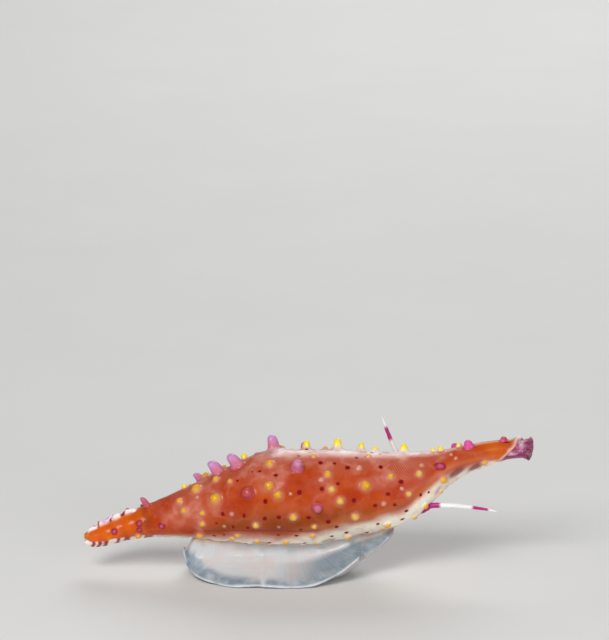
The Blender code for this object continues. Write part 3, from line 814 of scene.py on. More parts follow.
    def seat(self, x: float, turn: float, narrow: float = 1.0) -> Seat:
        """A place on the skin without papillae.

        Args:
            x: Its station.
            turn: Its turn in degrees.
            narrow: How much narrower than round things are that sit on it.

        Returns:
            The place and its directions.
        """
        at = np.array([x + self.pit[-1][0] - self.pit[-1][1]])
        angle = np.array([math.radians(turn)])
        root, out = self.shape(at, angle)[0], self.normal(at, angle)[0]
        ahead = unit(np.array([1.0, 0.0, 0.0]) - out * out[0])
        return Seat(root, ahead, np.cross(out, ahead) * narrow, out)

    def by_papilla(self, x: Array, points: Array) -> Iterator[tuple[Papilla, Array, Array]]:
        """Goes through the papillae.

        Args:
            x: Stations of the points.
            points: Places on the skin without papillae.

        Yields:
            Each papilla, the numbers of the points near it, and how far they are from its axis in reaches.
        """
        for papilla, seat in zip(self.papillae, self.seats):
            near = np.flatnonzero(np.abs(x - papilla.x) < papilla.reach * 2.2)
            yield papilla, near, np.hypot(*seat.flat(points[near])) / papilla.reach

    def by_spot(self, x: Array, points: Array, margin: float = 0.0) -> Iterator[tuple[Array, Array]]:
        """Goes through the spots.

        Args:
            x: Stations of the points.
            points: Places on the skin without papillae.
            margin: How much larger each spot is taken.

        Yields:
            The numbers of the points near the spot, and how far they are from its centre as a share of it.
        """
        for (x0, _, along, across), seat in zip(self.spots, self.spot_seats):
            near = np.flatnonzero(np.abs(x - x0) < 1.0)
            forward, sideways = seat.flat(points[near])
            yield near, np.hypot(forward / (along + margin), sideways / (across + margin))

    def too_long(self, cells: Array) -> tuple[Array, Array]:
        """Finds the cells that are longer than the detail under them allows.

        Args:
            cells: Row, column, and size along each, in lattice steps.

        Returns:
            Which are too long along the skin, and which round it.
        """
        middle = cells[:, :2] + cells[:, 2:] / 2
        reach, turn = middle[:, 0] * self.step, self.turn_at(middle[:, 1])
        x, radius, inside = self.along_skin(reach)
        points, target = self.plain(reach, turn), np.full(len(cells), self.spacing)
        for papilla, near, share in self.by_papilla(x, points):
            near = near[share < 1.08]
            target[near] = np.minimum(target[near], papilla.kind.fine)
        for near, share in self.by_spot(x, points, 0.12):
            near = near[share < 1.1]
            target[near] = np.minimum(target[near], 0.09)
        degrees, height = np.degrees(turn), np.sin(turn)
        y = self.body.width * radius * np.abs(np.cos(turn))
        slot = np.maximum(self.foot.neck(x) + self.gap, self.hollow_edge * self.hollow(x))
        wall = (height < 0) & (np.abs(slot - y - 0.2) < 0.36) & (x > -10.5) & (x < 13.6)
        # Tail, its frill and margin, mantle's edge, both rims, slits, wall round foot and head, its front
        details = (
            ((x < -11.3) & (inside == 0), 0.10),
            ((x < -13.2) & (degrees > 62) & (degrees < 178), 0.058),
            ((x < -12.0) & (height < -0.42), 0.075),
            (np.abs(x - self.lip_station(turn)) < 0.3, 0.07),
            ((x > 22.9) | (x < -19.7), 0.09),
            ((height < -0.78) & ((x < -9.3) | (x > 13.3)), 0.085),
            (wall, 0.13),
            (wall & (x > 9.4), 0.07),
        )
        for where, fine in details:
            target[where] = np.minimum(target[where], fine)
        target[(inside > 0) & (x < 23.0) & (x > -19.9)] = 0.16
        wide = cells[:, 3] / self.columns * TAU * np.maximum(radius, 0.3)
        around = np.where(wall, np.minimum(target, 0.055), target)
        return cells[:, 2] * self.step > target * 1.25, wide > around * 1.25

    def raise_papillae(self, points: Array, base: Array, inside: Array) -> None:
        """Raises each papilla out of the skin, in place.

        Args:
            points: The skin's points, changed by this.
            base: The same points before any papilla is raised.
            inside: Which of them are inside the tail's pit or the siphon's bore.
        """
        outer = np.flatnonzero(inside == 0)
        order = outer[np.argsort(base[outer, 0])]
        stations = base[order, 0]
        for papilla, seat in zip(self.papillae, self.seats):
            low, high = seat.root[0] - papilla.reach, seat.root[0] + papilla.reach
            near = order[np.searchsorted(stations, low) : np.searchsorted(stations, high)]
            a, b = seat.flat(base[near])
            share = np.hypot(a, b) / papilla.reach
            near, a, b, share = (row[share < 1.0] for row in (near, a, b, share))
            wide, high = through(PROFILE[papilla.kind], share).T
            squeeze, height = wide / np.maximum(share, 1e-3), high * papilla.height
            wobble = 1 + 0.05 * np.sin(3 * np.arctan2(b, a) + papilla.x * 7) * ramp(1.0, 0.7, share)
            lean = papilla.lean * height**2 / papilla.height
            kept = np.clip(squeeze, 0, 1) * ramp(0.0, 0.8, share)
            rise = (base[near] - seat.root) @ seat.out * (kept - 1) + height
            points[near] += np.outer(a * (squeeze * wobble - 1) - lean, seat.ahead)
            points[near] += np.outer(b * (squeeze * wobble - 1), seat.across) + np.outer(rise, seat.out)

    def small_masks(self, x: Array, points: Array) -> Masks:
        """Masks of the papillae and spots.

        Args:
            x: Stations of the skin's points.
            points: The points before any papilla is raised.

        Returns:
            For each kind, the distance from the nearest axis as a share of reach; the tints; and the
            distance from the nearest spot's centre as a share of its size.
        """
        masks = {kind.mask: np.full(len(x), 2.0) for kind in Kind}
        spot, tint, tall = np.full(len(x), 2.5), np.zeros(len(x)), np.zeros(len(x))
        for papilla, near, share in self.by_papilla(x, points):
            mask = masks[papilla.kind.mask]
            closer = share < mask[near]
            mask[near[closer]] = share[closer]
            inner = near[closer & (share < 1.2)]
            tint[inner], tall[inner] = papilla.tint, papilla.kind is Kind.TALL
        for near, share in self.by_spot(x, points):
            spot[near] = np.minimum(spot[near], share)
        return {**masks, "tint": tint, "tall": tall, "spot": spot}

    def raise_frill(self, points: Array, reach: Array, turn: Array) -> Array:
        """Draws the tail's crest out into lobes, in place.

        Args:
            points: The skin's points, changed by this.
            reach: Their distances along the skin.
            turn: Their turns in radians.

        Returns:
            How far each point stands on the frill, from 0 at its foot to 1 at its edge.
        """
        x, radius, inside = self.along_skin(reach)
        stands = np.zeros(len(points))
        for lobes in (self.frill_right, self.frill_left):
            line = curve([row[:2] for row in lobes], x)
            height = np.full(len(points), 0.35 * max(row[3] for row in lobes))
            for x0, _, half, tall in lobes:
                dome = np.clip(1 - ((x - x0) / (half * 1.15)) ** 2, 0, 1) ** 0.75
                height = np.maximum(height, tall * dome)
            first, last = lobes[0][0], lobes[-1][0]
            height *= span(x, first - 0.6, first, last - 0.2, last + 1.2)
            across = np.abs(np.radians(np.degrees(turn) - line) * radius) / self.frill_half
            near = np.flatnonzero((across < 1) & (height > 0.02) & (inside == 0))
            share, tall = across[near], height[near]
            wide, high = through(self.frill_section, share).T
            at = np.radians(line[near])
            root, up = self.shape(reach[near], at), self.normal(reach[near], at)
            side = unit(np.cross(np.array([1.0, 0.0, 0.0]), up))
            local = points[near] - root
            lateral = np.sum(local * side, axis=1)
            along = local - side * lateral[:, None]
            along = along - up * np.sum(along * up, axis=1, keepdims=True) * (1 - share**2)[:, None]
            ripple = 0.125 * np.sin(4.3 * x[near]) * high * tall
            moved = side * (lateral * wide / np.maximum(share, 1e-3) + ripple)[:, None]
            moved += root + along + up * (high * tall)[:, None]
            blend = ramp(0.0, 0.15, tall)[:, None]
            points[near] = points[near] * (1 - blend) + moved * blend
            stands[near] = np.maximum(stands[near], high * ramp(0.04, 0.20, tall))
        return stands

    def zones(self, points: Array, reach: Array, turn: Array) -> Masks:
        """Masks of the mantle's colours by place.

        Args:
            points: The skin's points without frill and papillae.
            reach: Their distances along the skin.
            turn: Their turns in radians.

        Returns:
            The masks by name.
        """
        x, _, inside = self.along_skin(reach)
        outer, degrees, folded = inside == 0, np.degrees(turn), mirrored(turn)
        cloud = noise(points, 2.1, 5) + 0.5 * noise(points, 0.9, 6)
        bound, past = curve(self.pale_from, x), x - self.lip_station(turn)
        veil = ramp(8, 66, folded + 26 * cloud) * span(x, -13.5, -10, 14.5, 19)
        rear = 0.8 * span(x, -13.5, -10.5, -9, -4.5) * ramp(-40, -5, folded + 20 * cloud)
        # The pale strip, wide and soft at the rear, and the bands in its place on the left of the spout
        rear_soft = ramp(2, -4, x)
        fade = 19 + 9 * rear_soft + 9 * ramp(13.5, 15.5, x)
        pale = ramp(1.0, -fade, folded - bound + 5 * cloud) * span(x, -15.0, -13.2, 19.6, 21.6)
        pale *= 1 - 0.5 * rear_soft * ramp(-62, -44, folded)
        far_spout = ramp(98, 130, degrees) * ramp(12.6, 14.6, x)
        askew = x + 0.35 * cloud - 0.006 * (degrees - 200)
        bands = sum(bell(askew, x0, half) for x0, half in self.spout_bands)
        bands = np.clip(bands, 0, 1) * ramp(100, 165, degrees + 20 * cloud) * outer
        pale = pale * (1 - 0.8 * far_spout) + 0.72 * far_spout * bands
        straw = bell(folded - bound + 5 * cloud, 1 + 5 * ramp(13, 15.5, x), 6.5 + 9 * ramp(13, 16, x))
        straw *= span(x, -3, 3, 19.5, 21.5) * (1 - 0.8 * far_spout)
        # The amber tail with its folds; painted shade low on the flank and behind the raised edge over the
        # siphon, and a darker patch at the tail's base
        amber = ramp(-12.8, -18.6, x + 0.9 * cloud) + 0.32 * bell(x, 20.0, 1.4)
        glow = 0.1 + 0.5 * np.sin(self.slant(points, x, folded) + 0.5)
        amber += 0.28 * glow * ramp(-12.2, -14.0, x)
        darker_band_and_shade = bell(folded + 5 * cloud, -19, 17) * span(x, -10, -7, 6, 12)
        darker_band_and_shade = np.maximum(darker_band_and_shade, 0.7 * bell(x, -13.9, 0.5) * bell(folded, 15, 25))
        darker_band_and_shade = np.maximum(darker_band_and_shade, 0.9 * bell(past, -0.75, 0.14) * bell(degrees, 52, 24) * outer)
        # The siphon, painted shade deep in both openings, the white line of the back with painted rim light,
        # the mantle's white tip
        opening_shade = [ramp(-20.0, -19.6, x), ramp(23.3, 21.9, x)]
        mauve = np.select([outer, inside == 2], [ramp(-0.03, 0.06, past), 1.0], 0.0)
        # White line along the back: partly its own white, partly painted rim light along the top of the
        # outline
        rim_lit_line = bell(degrees + 7 * cloud, 101, 17 - 6 * ramp(10, 15, x))
        rim = 1.1 * rim_lit_line * ramp(-3.5, -1.0, x + cloud) * ramp(19.3, 17.0, x)
        tip = bell(degrees, 103, 19) * ramp(20.8, 21.8, x) * (1 - mauve)
        # Red lines along the crease and the lower edge, and red smudges on the front
        line = bell(folded, self.crease(x), 1.4) * span(x, -10, -8, 1, 5)
        hem = bell(folded + 3 * cloud, -60, 2.6) * span(x, -9.5, -8, 10, 13)
        hem *= 0.8 * ramp(-0.1, 0.5, np.sin(1.9 * x + 0.6))
        smudge = 0.55 * bell(x + 0.4 * cloud, 10.9, 1.5) * bell(folded + 4 * cloud - bound, -1, 7)
        for most, drift, x0, along, middle, across in self.smudges:
            smudge += most * bell(x + drift * cloud, x0, along) * bell(folded, middle, across)
        return {
            "veil": np.maximum(veil, rear),
            "pale": np.maximum(pale, 0.5 * bell(past, -0.16, 0.2) * outer),
            "straw": straw,
            "amber": np.clip(amber, 0, 1),
            "darker_band_and_shade": darker_band_and_shade,
            "rim": np.clip(np.maximum(rim, tip), 0, 1),
            "mauve": mauve,
            "opening_shade": np.select([inside == 1, inside == 2], opening_shade, 0.0),
            "line": np.clip(np.maximum(line, hem) + smudge, 0, 1),
            "rimward": ramp(22.2, 23.4, x),
            "front": bell(x, 11.3, 1.6) * span(folded, 22, 32, 60, 72),
        }

    def stripes(self, points: Array, reach: Array, turn: Array, stands: Array) -> Masks:
        """White and maroon masks of the tail's frill, of its lower margin and of the front slit.

        Args:
            points: The skin's points without papillae.
            reach: Their distances along the skin.
            turn: Their turns in radians.
            stands: How far each stands on the frill.

        Returns:
            The two masks.
        """
        x, _, inside = self.along_skin(reach)
        degrees, folded = np.degrees(turn), mirrored(turn)
        waver = 0.10 * np.sin(np.radians(folded) * 3.0) + 0.10 * noise(points, 0.7, 12)

        def lengths(table: Table) -> Array:
            """How far each station is inside one of the lengths."""
            ends = [(low - 0.11, low + 0.11, high - 0.11, high + 0.11) for low, high in table]
            return np.max([span(x + waver, *end) for end in ends], axis=0)

        left = degrees > 120
        crest = np.maximum(stands, bell(degrees, 86, 14) * ramp(-14.4, -15.4, x) * 0.8)
        crest = ramp(0.10, 0.55, crest) * ramp(-12.8, -13.3, x) * np.where(left, ramp(-13.3, -14.6, x), 1.0)
        fan = ramp(-0.56, 0.44, np.sin((x + 0.0004 * (degrees - 155) ** 2) * 4.6 + 0.6))
        on_crest = np.where(left, fan, lengths(self.crest_white))
        flank = span(degrees, 150, 165, 235, 262) * ramp(-13.4, -15.0, x)
        flank *= 0.75 * ramp(-20.0, -19.2, x) * (inside == 0)
        under_from = curve(self.under_from, x) + 5 * noise(points, 0.9, 13)
        under = ramp(1, -12, folded - under_from) * ramp(-9.8, -12.6, x) * (1 - 0.75 * bell(folded, -88, 9))
        on_under = lengths(self.under_white)
        white = np.clip(crest * on_crest + under * on_under, 0, 1)
        maroon = crest * (1 - on_crest) * np.where(left, 0.78, 1) + 0.85 * under * (1 - on_under)
        maroon = np.maximum(np.clip(maroon, 0, 1), flank * (1 - fan))
        canal = 0.9 * span(x, 14.5, 15.5, 19.2, 19.8) * bell(folded, -88, 17)
        bars = ramp(0.0, 0.7, np.sin(x * 6.2 + waver * 6))
        tip = bell(x, -19.95, 0.16) * (inside < 2) * ramp(0.25, -0.1, np.sin(turn))
        white = np.clip(np.maximum(white, canal * (1 - bars)) + 0.7 * tip, 0, 1)
        return {"white": white, "maroon": np.maximum(maroon, canal * bars) * (1 - tip)}

    def build(self, material: bpy.types.Material) -> None:
        """Makes the skin with its masks and puts it on the animal.

        Args:
            material: What it is painted with.
        """
        rows = math.ceil(self.length / self.step / self.block) * self.block
        self.step = self.length / rows
        self.seats = [self.seat(papilla.x, papilla.turn, papilla.narrow) for papilla in self.papillae]
        self.spot_seats = [self.seat(x, turn) for x, turn, _, _ in self.spots]
        grid = PatchGrid(rows, self.columns, self.block)
        grid.refine(self.too_long)
        places, faces, corners = grid.faces()
        reach, turn = places[:, 0] * self.step, self.turn_at(places[:, 1])
        points = self.shape(reach, turn)
        x, _, inside = self.along_skin(reach)
        masks = self.zones(points, reach, turn)
        stands = self.raise_frill(points, reach, turn)
        base = points.copy()
        self.raise_papillae(points, base, inside)
        masks |= self.small_masks(x, base) | self.stripes(base, reach, turn, stands)
        piece = skin_of("mantle_skin", (points, faces))
        flat = corners / (rows, self.columns) * (0.98, 0.60) + 0.01
        piece.data.uv_layers.new(name=BAKE_MAP).data.foreach_set("uv", flat.ravel())
        dress(piece, masks, material, MANTLE)


@dataclass(frozen=True)
class Tentacle:
    """One tentacle: its centre line, its magenta lengths as shares of that, and how much its tip swells."""

    points: Table
    bands: Table
    swell: float = 0.0
    # Share of the length, radius
    taper: Table = (
        (0, 0.36), (0.06, 0.32), (0.3, 0.27), (0.6, 0.22), (0.8, 0.16), (0.95, 0.12), (1, 0.08),
    )

    def line(self, count: int) -> Array:
        """Evenly spread places along the centre line.

        Args:
            count: How many.

        Returns:
            The places, one row each.
        """
        table = [(k, *point) for k, point in enumerate(self.points)]
        dense = through(table, np.linspace(0, len(table) - 1, 400))
        length = np.concatenate([[0], np.cumsum(np.linalg.norm(np.diff(dense, axis=0), axis=1))])
        even = np.linspace(0, length[-1], count)
        return np.stack([np.interp(even, length, dense[:, k]) for k in range(3)], axis=1)

    def form(self) -> Form:
        """Points and faces of the tentacle, its root drawn into the head."""
        line = self.line(90)
        ahead = unit(np.gradient(line, axis=0))
        side = unit(np.cross(ahead, np.array([0.3, -0.9, 0.4])))
        other = np.cross(ahead, side)
        share, angle = np.linspace(0, 1, len(line)), np.linspace(0, TAU, 20, endpoint=False)[:, None]
        radius = curve(self.taper, share) * (1 + 0.035 * np.sin(share * 95) * (share < 0.9))
        radius *= 1 + self.swell * ramp(0.4, 0.7, share)
        cosine, sine = np.cos(angle), np.sin(angle)
        rows = [line[k] + radius[k] * (cosine * side[k] + sine * other[k]) for k in range(len(line))]
        return closed_tube(rows)


RIGHT = Tentacle(
    (
        (12.4, -1.43, 6.55), (13.3, -1.5, 6.95), (13.85, -1.64, 7.34), (15.2, -1.9, 7.44),
        (16.7, -2.1, 7.42), (18.7, -2.3, 7.25), (20.3, -2.45, 6.97),
    ),
    ((0.05, 0.317), (0.70, 0.888)),
)
LEFT = Tentacle(
    (
        (12.4, 1.43, 6.55), (12.75, 2.45, 6.25), (12.45, 3.6, 6.95), (11.75, 4.35, 8.75),
        (10.5, 4.95, 10.8), (9.72, 5.4, 12.6), (9.1, 5.75, 14.09),
    ),
    ((0.05, 0.30), (0.775, 0.905)),
    swell=0.35,
)


@dataclass
class FootAndHead:
    """The foot, neck, head, snout and tentacles, fused into one skin."""

    body: Body = field(default_factory=Body)
    foot: Foot = field(default_factory=Foot)
    tentacles: tuple[Tentacle, ...] = (RIGHT, LEFT)
    voxel: float = 0.086
    rings: int = 150
    # Head: centre and radii of each form. The snout and its end are pitched, the swelling is at each eye
    neck: Table = ((10.6, 0, 6.62), (1.9, 1.6, 0.85))
    throat: Table = ((9.6, 0.0, 5.7), (1.5, 1.15, 1.0))
    snout: Table = ((11.75, 0, 6.42), (1.1, 0.76, 0.64))
    snout_end: Table = ((12.62, 0.0, 6.31), (0.34, 0.56, 0.50))
    snout_pitch: float = 8.0
    swelling: Table = ((11.65, 1.28, 6.5), (1, 0.56, 0.56))
    swelling_yaw: float = 14.0
    # Which way the left eye looks, and how far along that it sits from the swelling's centre
    eye_aim: tuple[float, float, float] = (-0.1, 0.60, -0.79)
    eye_far: float = 0.47
    # Stations of the notch in the foot's margin and of the crease across its flank, and their half width
    notch_at: float = 7.1
    crease_at: float = -2.5
    notch_half: float = 0.16
    # Heights on the foot's flank, as shares
    flank_heights: tuple[float, ...] = (0.62, 0.48, 0.36, 0.28, 0.20, 0.14, 0.09, 0.04, 0.0)
    # Where the clear margin starts: station, share of the foot's half width
    clear_from: Table = (
        (-10, 0.2), (-9.3, 0.4), (-8.7, 0.53), (-7.2, 0.67), (-5.3, 0.77), (-3.4, 0.8), (3, 0.8),
        (6.5, 0.7), (10, 0.74),
    )

    def section(self, x: float) -> Array:
        """Half of the foot's cross-section, from the middle of its top to the sole.

        Args:
            x: The station.

        Returns:
            Half width and height of each point.
        """
        at = np.array([x])
        width, margin, sole = through(self.foot.stations, at)[0]
        top, neck = self.foot.top(at, self.body)[0] - 0.05, self.foot.neck(at)[0] - 0.03
        crease = bell(x, self.crease_at, self.notch_half)
        notch = 0.42 * bell(x, self.notch_at, self.notch_half) - 0.20 * crease
        margin += 0.36 * bell(x, self.notch_at, 0.15)
        ripple = 0.06 * math.sin(1.7 * x + 0.5) + 0.03 * math.sin(4.3 * x + 0.8)
        width = max(width - 0.05 - (notch + ripple) * min(1.0, width / 3), neck + 0.15)
        edge = 0.27 if width > 1.5 else 0.36
        low = margin + edge
        share = np.array(self.flank_heights)
        flare = np.maximum(0.0, 1 - share / 0.62) ** 1.8
        across = neck + (width - 0.10 - neck) * flare + 0.10 * crease * (1 - share) ** 2
        flank = np.stack([across, low + share * (top - low)], axis=1)
        upper = [(0.0, top), (0.72 * neck, top), (neck, top - 0.1 * (top - low))]
        under = [
            (width, margin + 0.42 * edge),
            (width - 0.10, margin + 0.05),
            (0.84 * width, 0.7 * margin + 0.3 * sole + 0.02),
            (0.70 * width, 0.45 * margin + 0.55 * sole),
            (0.45 * width, sole),
            (0.0, sole),
        ]
        return np.concatenate([upper, flank, under])

    def foot_form(self) -> Form:
        """Points and faces of the foot alone."""
        start, end = self.foot.stations[0][0], self.foot.stations[-1][0]
        rows = []
        for k in range(1, self.rings):
            x = (start + end) / 2 - (end - start) / 2 * math.cos(k / self.rings * math.pi)
            right = self.section(x)
            ring = np.concatenate([right, right[-2:0:-1] * (-1, 1)])
            rows.append(np.column_stack([np.full(len(ring), x), ring]))
        return closed_tube(rows)

    def snout_turn(self) -> Array:
        """The snout's pitch, as a matrix."""
        return np.array(Matrix.Rotation(math.radians(self.snout_pitch), 3, "Y"))

    def eye_way(self, side: int) -> Array:
        """The direction in which an eye looks."""
        return unit(np.array(self.eye_aim) * (1, side, 1))

    def eye_place(self, side: int) -> Array:
        """Centre of an eye."""
        return np.array(self.swelling[0]) * (1, side, 1) + self.eye_way(side) * self.eye_far

    def fused(self) -> bpy.types.Object:
        """All the forms as one closed skin, in millimetres."""
        forms = [self.foot_form(), *(tentacle.form() for tentacle in self.tentacles)]
        forms += [globe(*form, np.identity(3)) for form in (self.neck, self.throat)]
        forms += [globe(*form, self.snout_turn()) for form in (self.snout, self.snout_end)]
        (x, y, z), radii = self.swelling
        for side in (-1, 1):
            turn = Matrix.Rotation(side * math.radians(self.swelling_yaw), 3, "Z")
            forms.append(globe((x, y * side, z), radii, np.array(turn)))
        faces, count = [], 0
        for points, own in forms:
            faces += [[k + count for k in face] for face in own]
            count += len(points)
        rough = add("fused", mesh_of("fused", np.concatenate([points for points, _ in forms]), faces))
        fuse = rough.modifiers.new("fuse", "REMESH")
        fuse.mode, fuse.voxel_size = "VOXEL", self.voxel
        even = rough.modifiers.new("even", "SMOOTH")
        even.factor, even.iterations = 0.5, 4
        graph = bpy.context.evaluated_depsgraph_get()
        made = bpy.data.meshes.new_from_object(rough.evaluated_get(graph), depsgraph=graph)
        bpy.data.objects.remove(rough)
        made.name = "foot_and_head_skin"
        return add(made.name, made)

    def head_folds(self, points: Array) -> tuple[Array, Masks]:
        """The folds of the head.

        Args:
            points: The skin's points.

        Returns:
            How far each moves along its normal, and the head's masks.
        """
        local = (points - np.array(self.snout[0])) @ self.snout_turn()
        share = local / np.array(self.snout[1])
        front = share[:, 0]
        snout = ramp(1.35, 1.08, np.linalg.norm(share, axis=1)) * ramp(11.3, 11.9, points[:, 0])
        mouth = bell(local[:, 1], 0, 0.05) * ramp(0.26, 0.14, np.abs(local[:, 2])) * ramp(0.85, 0.97, front)
        collar = bell(front, 0.80, 0.06) + 0.7 * bell(front, 0.42, 0.07) + 0.5 * bell(front, 0.12, 0.07)
        halo = np.min([np.linalg.norm(points - self.eye_place(side), axis=1) for side in (-1, 1)], axis=0)
        move = snout * (-0.035 * collar - 0.11 * mouth)
        move += 0.06 * bell(halo, 0.36, 0.09) - 0.10 * bell(halo, 0.12, 0.14)
        # Painted shade: darker wine in the snout's grooves, its mouth slit and where it meets the head
        dark_wine_and_fold_shade = snout * np.maximum(np.maximum(0.7 * np.clip(collar, 0, 1), mouth), ramp(0.35, -0.35, front))
        return move, {"snout": snout, "dark_wine_and_fold_shade": dark_wine_and_fold_shade, "halo": halo}

    def tentacle_masks(self, points: Array) -> Masks:
        """Masks of the tentacles.

        Args:
            points: The skin's points.

        Returns:
            Which points are on a tentacle, and which on one of its magenta lengths.
        """
        on, band = np.zeros(len(points)), np.zeros(len(points))
        for tentacle in self.tentacles:
            line = tentacle.line(160)
            boxed = (points > line.min(0) - 0.5) & (points < line.max(0) + 0.5)
            near = np.flatnonzero(boxed.all(axis=1))
            gaps = np.linalg.norm(points[near][:, None] - line[None], axis=2)
            share = gaps.argmin(axis=1) / (len(line) - 1)
            is_on = ramp(0.50, 0.40, gaps.min(axis=1)) * ramp(0.02, 0.08, share)
            on[near] = np.maximum(on[near], is_on)
            for start, end in tentacle.bands:
                length = span(share, start - 0.02, start + 0.02, end - 0.02, end + 0.02)
                band[near] = np.maximum(band[near], is_on * length)
        return {"tentacle": on, "band": band}

    def foot_masks(self, points: Array, normals: Array) -> Masks:
        """Masks of the foot.

        Args:
            points: The skin's points.
            normals: Its outward directions there.

        Returns:
            Nearness to the margin, the rays' angle, and the marks at the foot's ends, by name.
        """
        x, y, z = points.T
        width, margin, _ = through(self.foot.stations, x).T
        out, bottom = np.abs(y) / np.maximum(width, 0.3), self.body.bottom(x)
        cloud = noise(points, 2.0, 9)
        is_foot = ramp(10.7, 10.1, x) * ramp(0.35, -0.9, z - bottom - 0.3 + 0.3 * cloud)
        low = ramp(2.4, 1.4, z - margin)
        past = out - curve(self.clear_from, x) + 0.03 * noise(points, 0.9, 14)
        soft = ramp(1.0, 4.0, x)
        edge = ramp(-0.12, 0.09, past) * (1 - soft) + 0.6 * ramp(-0.35, 0.08, past) * soft
        height = (z - margin) / (bottom + 0.3 - margin)
        core = ramp(3.2, -1.8, x + 0.9 * cloud - 9.5 * ramp(0.38, 0.80, height))
        sole = ramp(-0.15, -0.60, normals[:, 2])
        thin = np.maximum(ramp(0.93, 0.99, out), ramp(-9.95, -10.3, x)) * ramp(0.9, 0.4, z - margin)
        star = bell(x + 0.06 * cloud, -2.55, 0.15 + 1.3 * np.clip(1.0 - out, 0, 1)) * ramp(0.50, 0.80, out)
        # Magenta streaks at the foot's front corners, and a mark at the rear tip
        across = np.abs(y) - 0.95 + 0.14 * (x - 9.4)
        corner = np.clip(1 - np.hypot(x - 9.5, across / 0.48), 0, 1)
        corner = ramp(0.0, 0.5, corner + 0.10 * cloud) * is_foot * ramp(0.05, -0.25, normals[:, 2])
        streaks = 0.5 + 0.5 * ramp(-0.3, 0.6, np.sin(across * 34 + 2.2 * (x - 9.4) + 2.6 * cloud))
        curl = bell(x, -10.25, 0.2) * bell(y, 0.1, 0.22) * bell(z, 2.5, 0.25)
        return {
            "is_foot": is_foot,
            "edge": edge * (1 - 0.8 * sole) * is_foot * low * (1 - 0.9 * star),
            "thin": np.maximum(thin, 0.35 * star * low) * is_foot,
            "core": np.maximum(core, sole),
            "ray": np.arctan2(x + 0.2, np.abs(y) + 3.2) * 1.1,
            "mark": np.clip(corner * streaks + curl, 0, 1),
        }

    def build(self, material: bpy.types.Material) -> None:
        """Makes the skin with its masks and puts it on the animal.

        Args:
            material: What it is painted with.
        """
        piece = self.fused()
        vertices, read = piece.data.vertices, []
        for name in ("co", "normal"):
            flat = np.zeros(len(vertices) * 3)
            vertices.foreach_get(name, flat)
            read.append(flat.reshape(-1, 3))
        points, normals = read
        move, masks = self.head_folds(points)
        masks |= self.tentacle_masks(points) | self.foot_masks(points, normals)
        rays = np.sin(masks["ray"] * 70 + 2.2 * noise(points, 2.5, 4))
        flank = masks["is_foot"] * ramp(0.3, 0.7, points[:, 2]) * ramp(-3, 4, points[:, 0])
        move += 0.003 * rays * flank
        move += 0.02 * noise(points, 0.8, 8) * (1 - masks["tentacle"]) * (points[:, 2] > 0.25)
        points = points + normals * move[:, None]
        points[:, 2] = np.maximum(points[:, 2], 0.0)
        vertices.foreach_set("co", (points * MM).ravel())
        piece.data.shade_smooth()
        self.unwrap(piece)
        dress(piece, masks, material, FOOT_AND_HEAD)

    @staticmethod
    def unwrap(piece: bpy.types.Object) -> None:
        """Lays a skin flat in islands that follow its own shape.

        Args:
            piece: The skin.
        """
        piece.data.uv_layers.new(name=BAKE_MAP)
        bpy.context.view_layer.objects.active = piece
        piece.select_set(True)
        bpy.ops.object.mode_set(mode="EDIT")
        bpy.ops.mesh.select_all(action="SELECT")
        bpy.ops.uv.smart_project(angle_limit=math.radians(66), island_margin=0.002)
        bpy.ops.object.mode_set(mode="OBJECT")
        piece.select_set(False)


@dataclass
class Eye:
    """One black eye, set in the skin of its swelling, with a slight bulge at the front."""

    side: int
    head: FootAndHead
    radius: float = 0.195

    def build(self, material: bpy.types.Material) -> None:
        """Makes the eyeball, its poles along the way it looks, and puts it on the animal.

        Args:
            material: What it is painted with.
        """
        name = "eye_left" if self.side > 0 else "eye_right"
        centre, way = self.head.eye_place(self.side), Vector(self.head.eye_way(self.side))
        turn = np.array(way.to_track_quat("Z", "X").to_matrix())
        form = globe(centre, [self.radius] * 3, turn, rings=28, count=36, bulge=0.05)
        piece = skin_of(f"{name}_ball", form)
        local = (form[0] - centre) @ turn / self.radius
        half = np.where(local[:, 2] > 0, 0.25, 0.75)
        flat = np.stack([half + local[:, 0] * 0.22, 0.5 + local[:, 1] * 0.45], axis=1)
        loops = [k for polygon in piece.data.polygons for k in polygon.vertices]
        piece.data.uv_layers.new(name=BAKE_MAP).data.foreach_set("uv", flat[loops].ravel())
        dress(piece, {}, material, (name,))


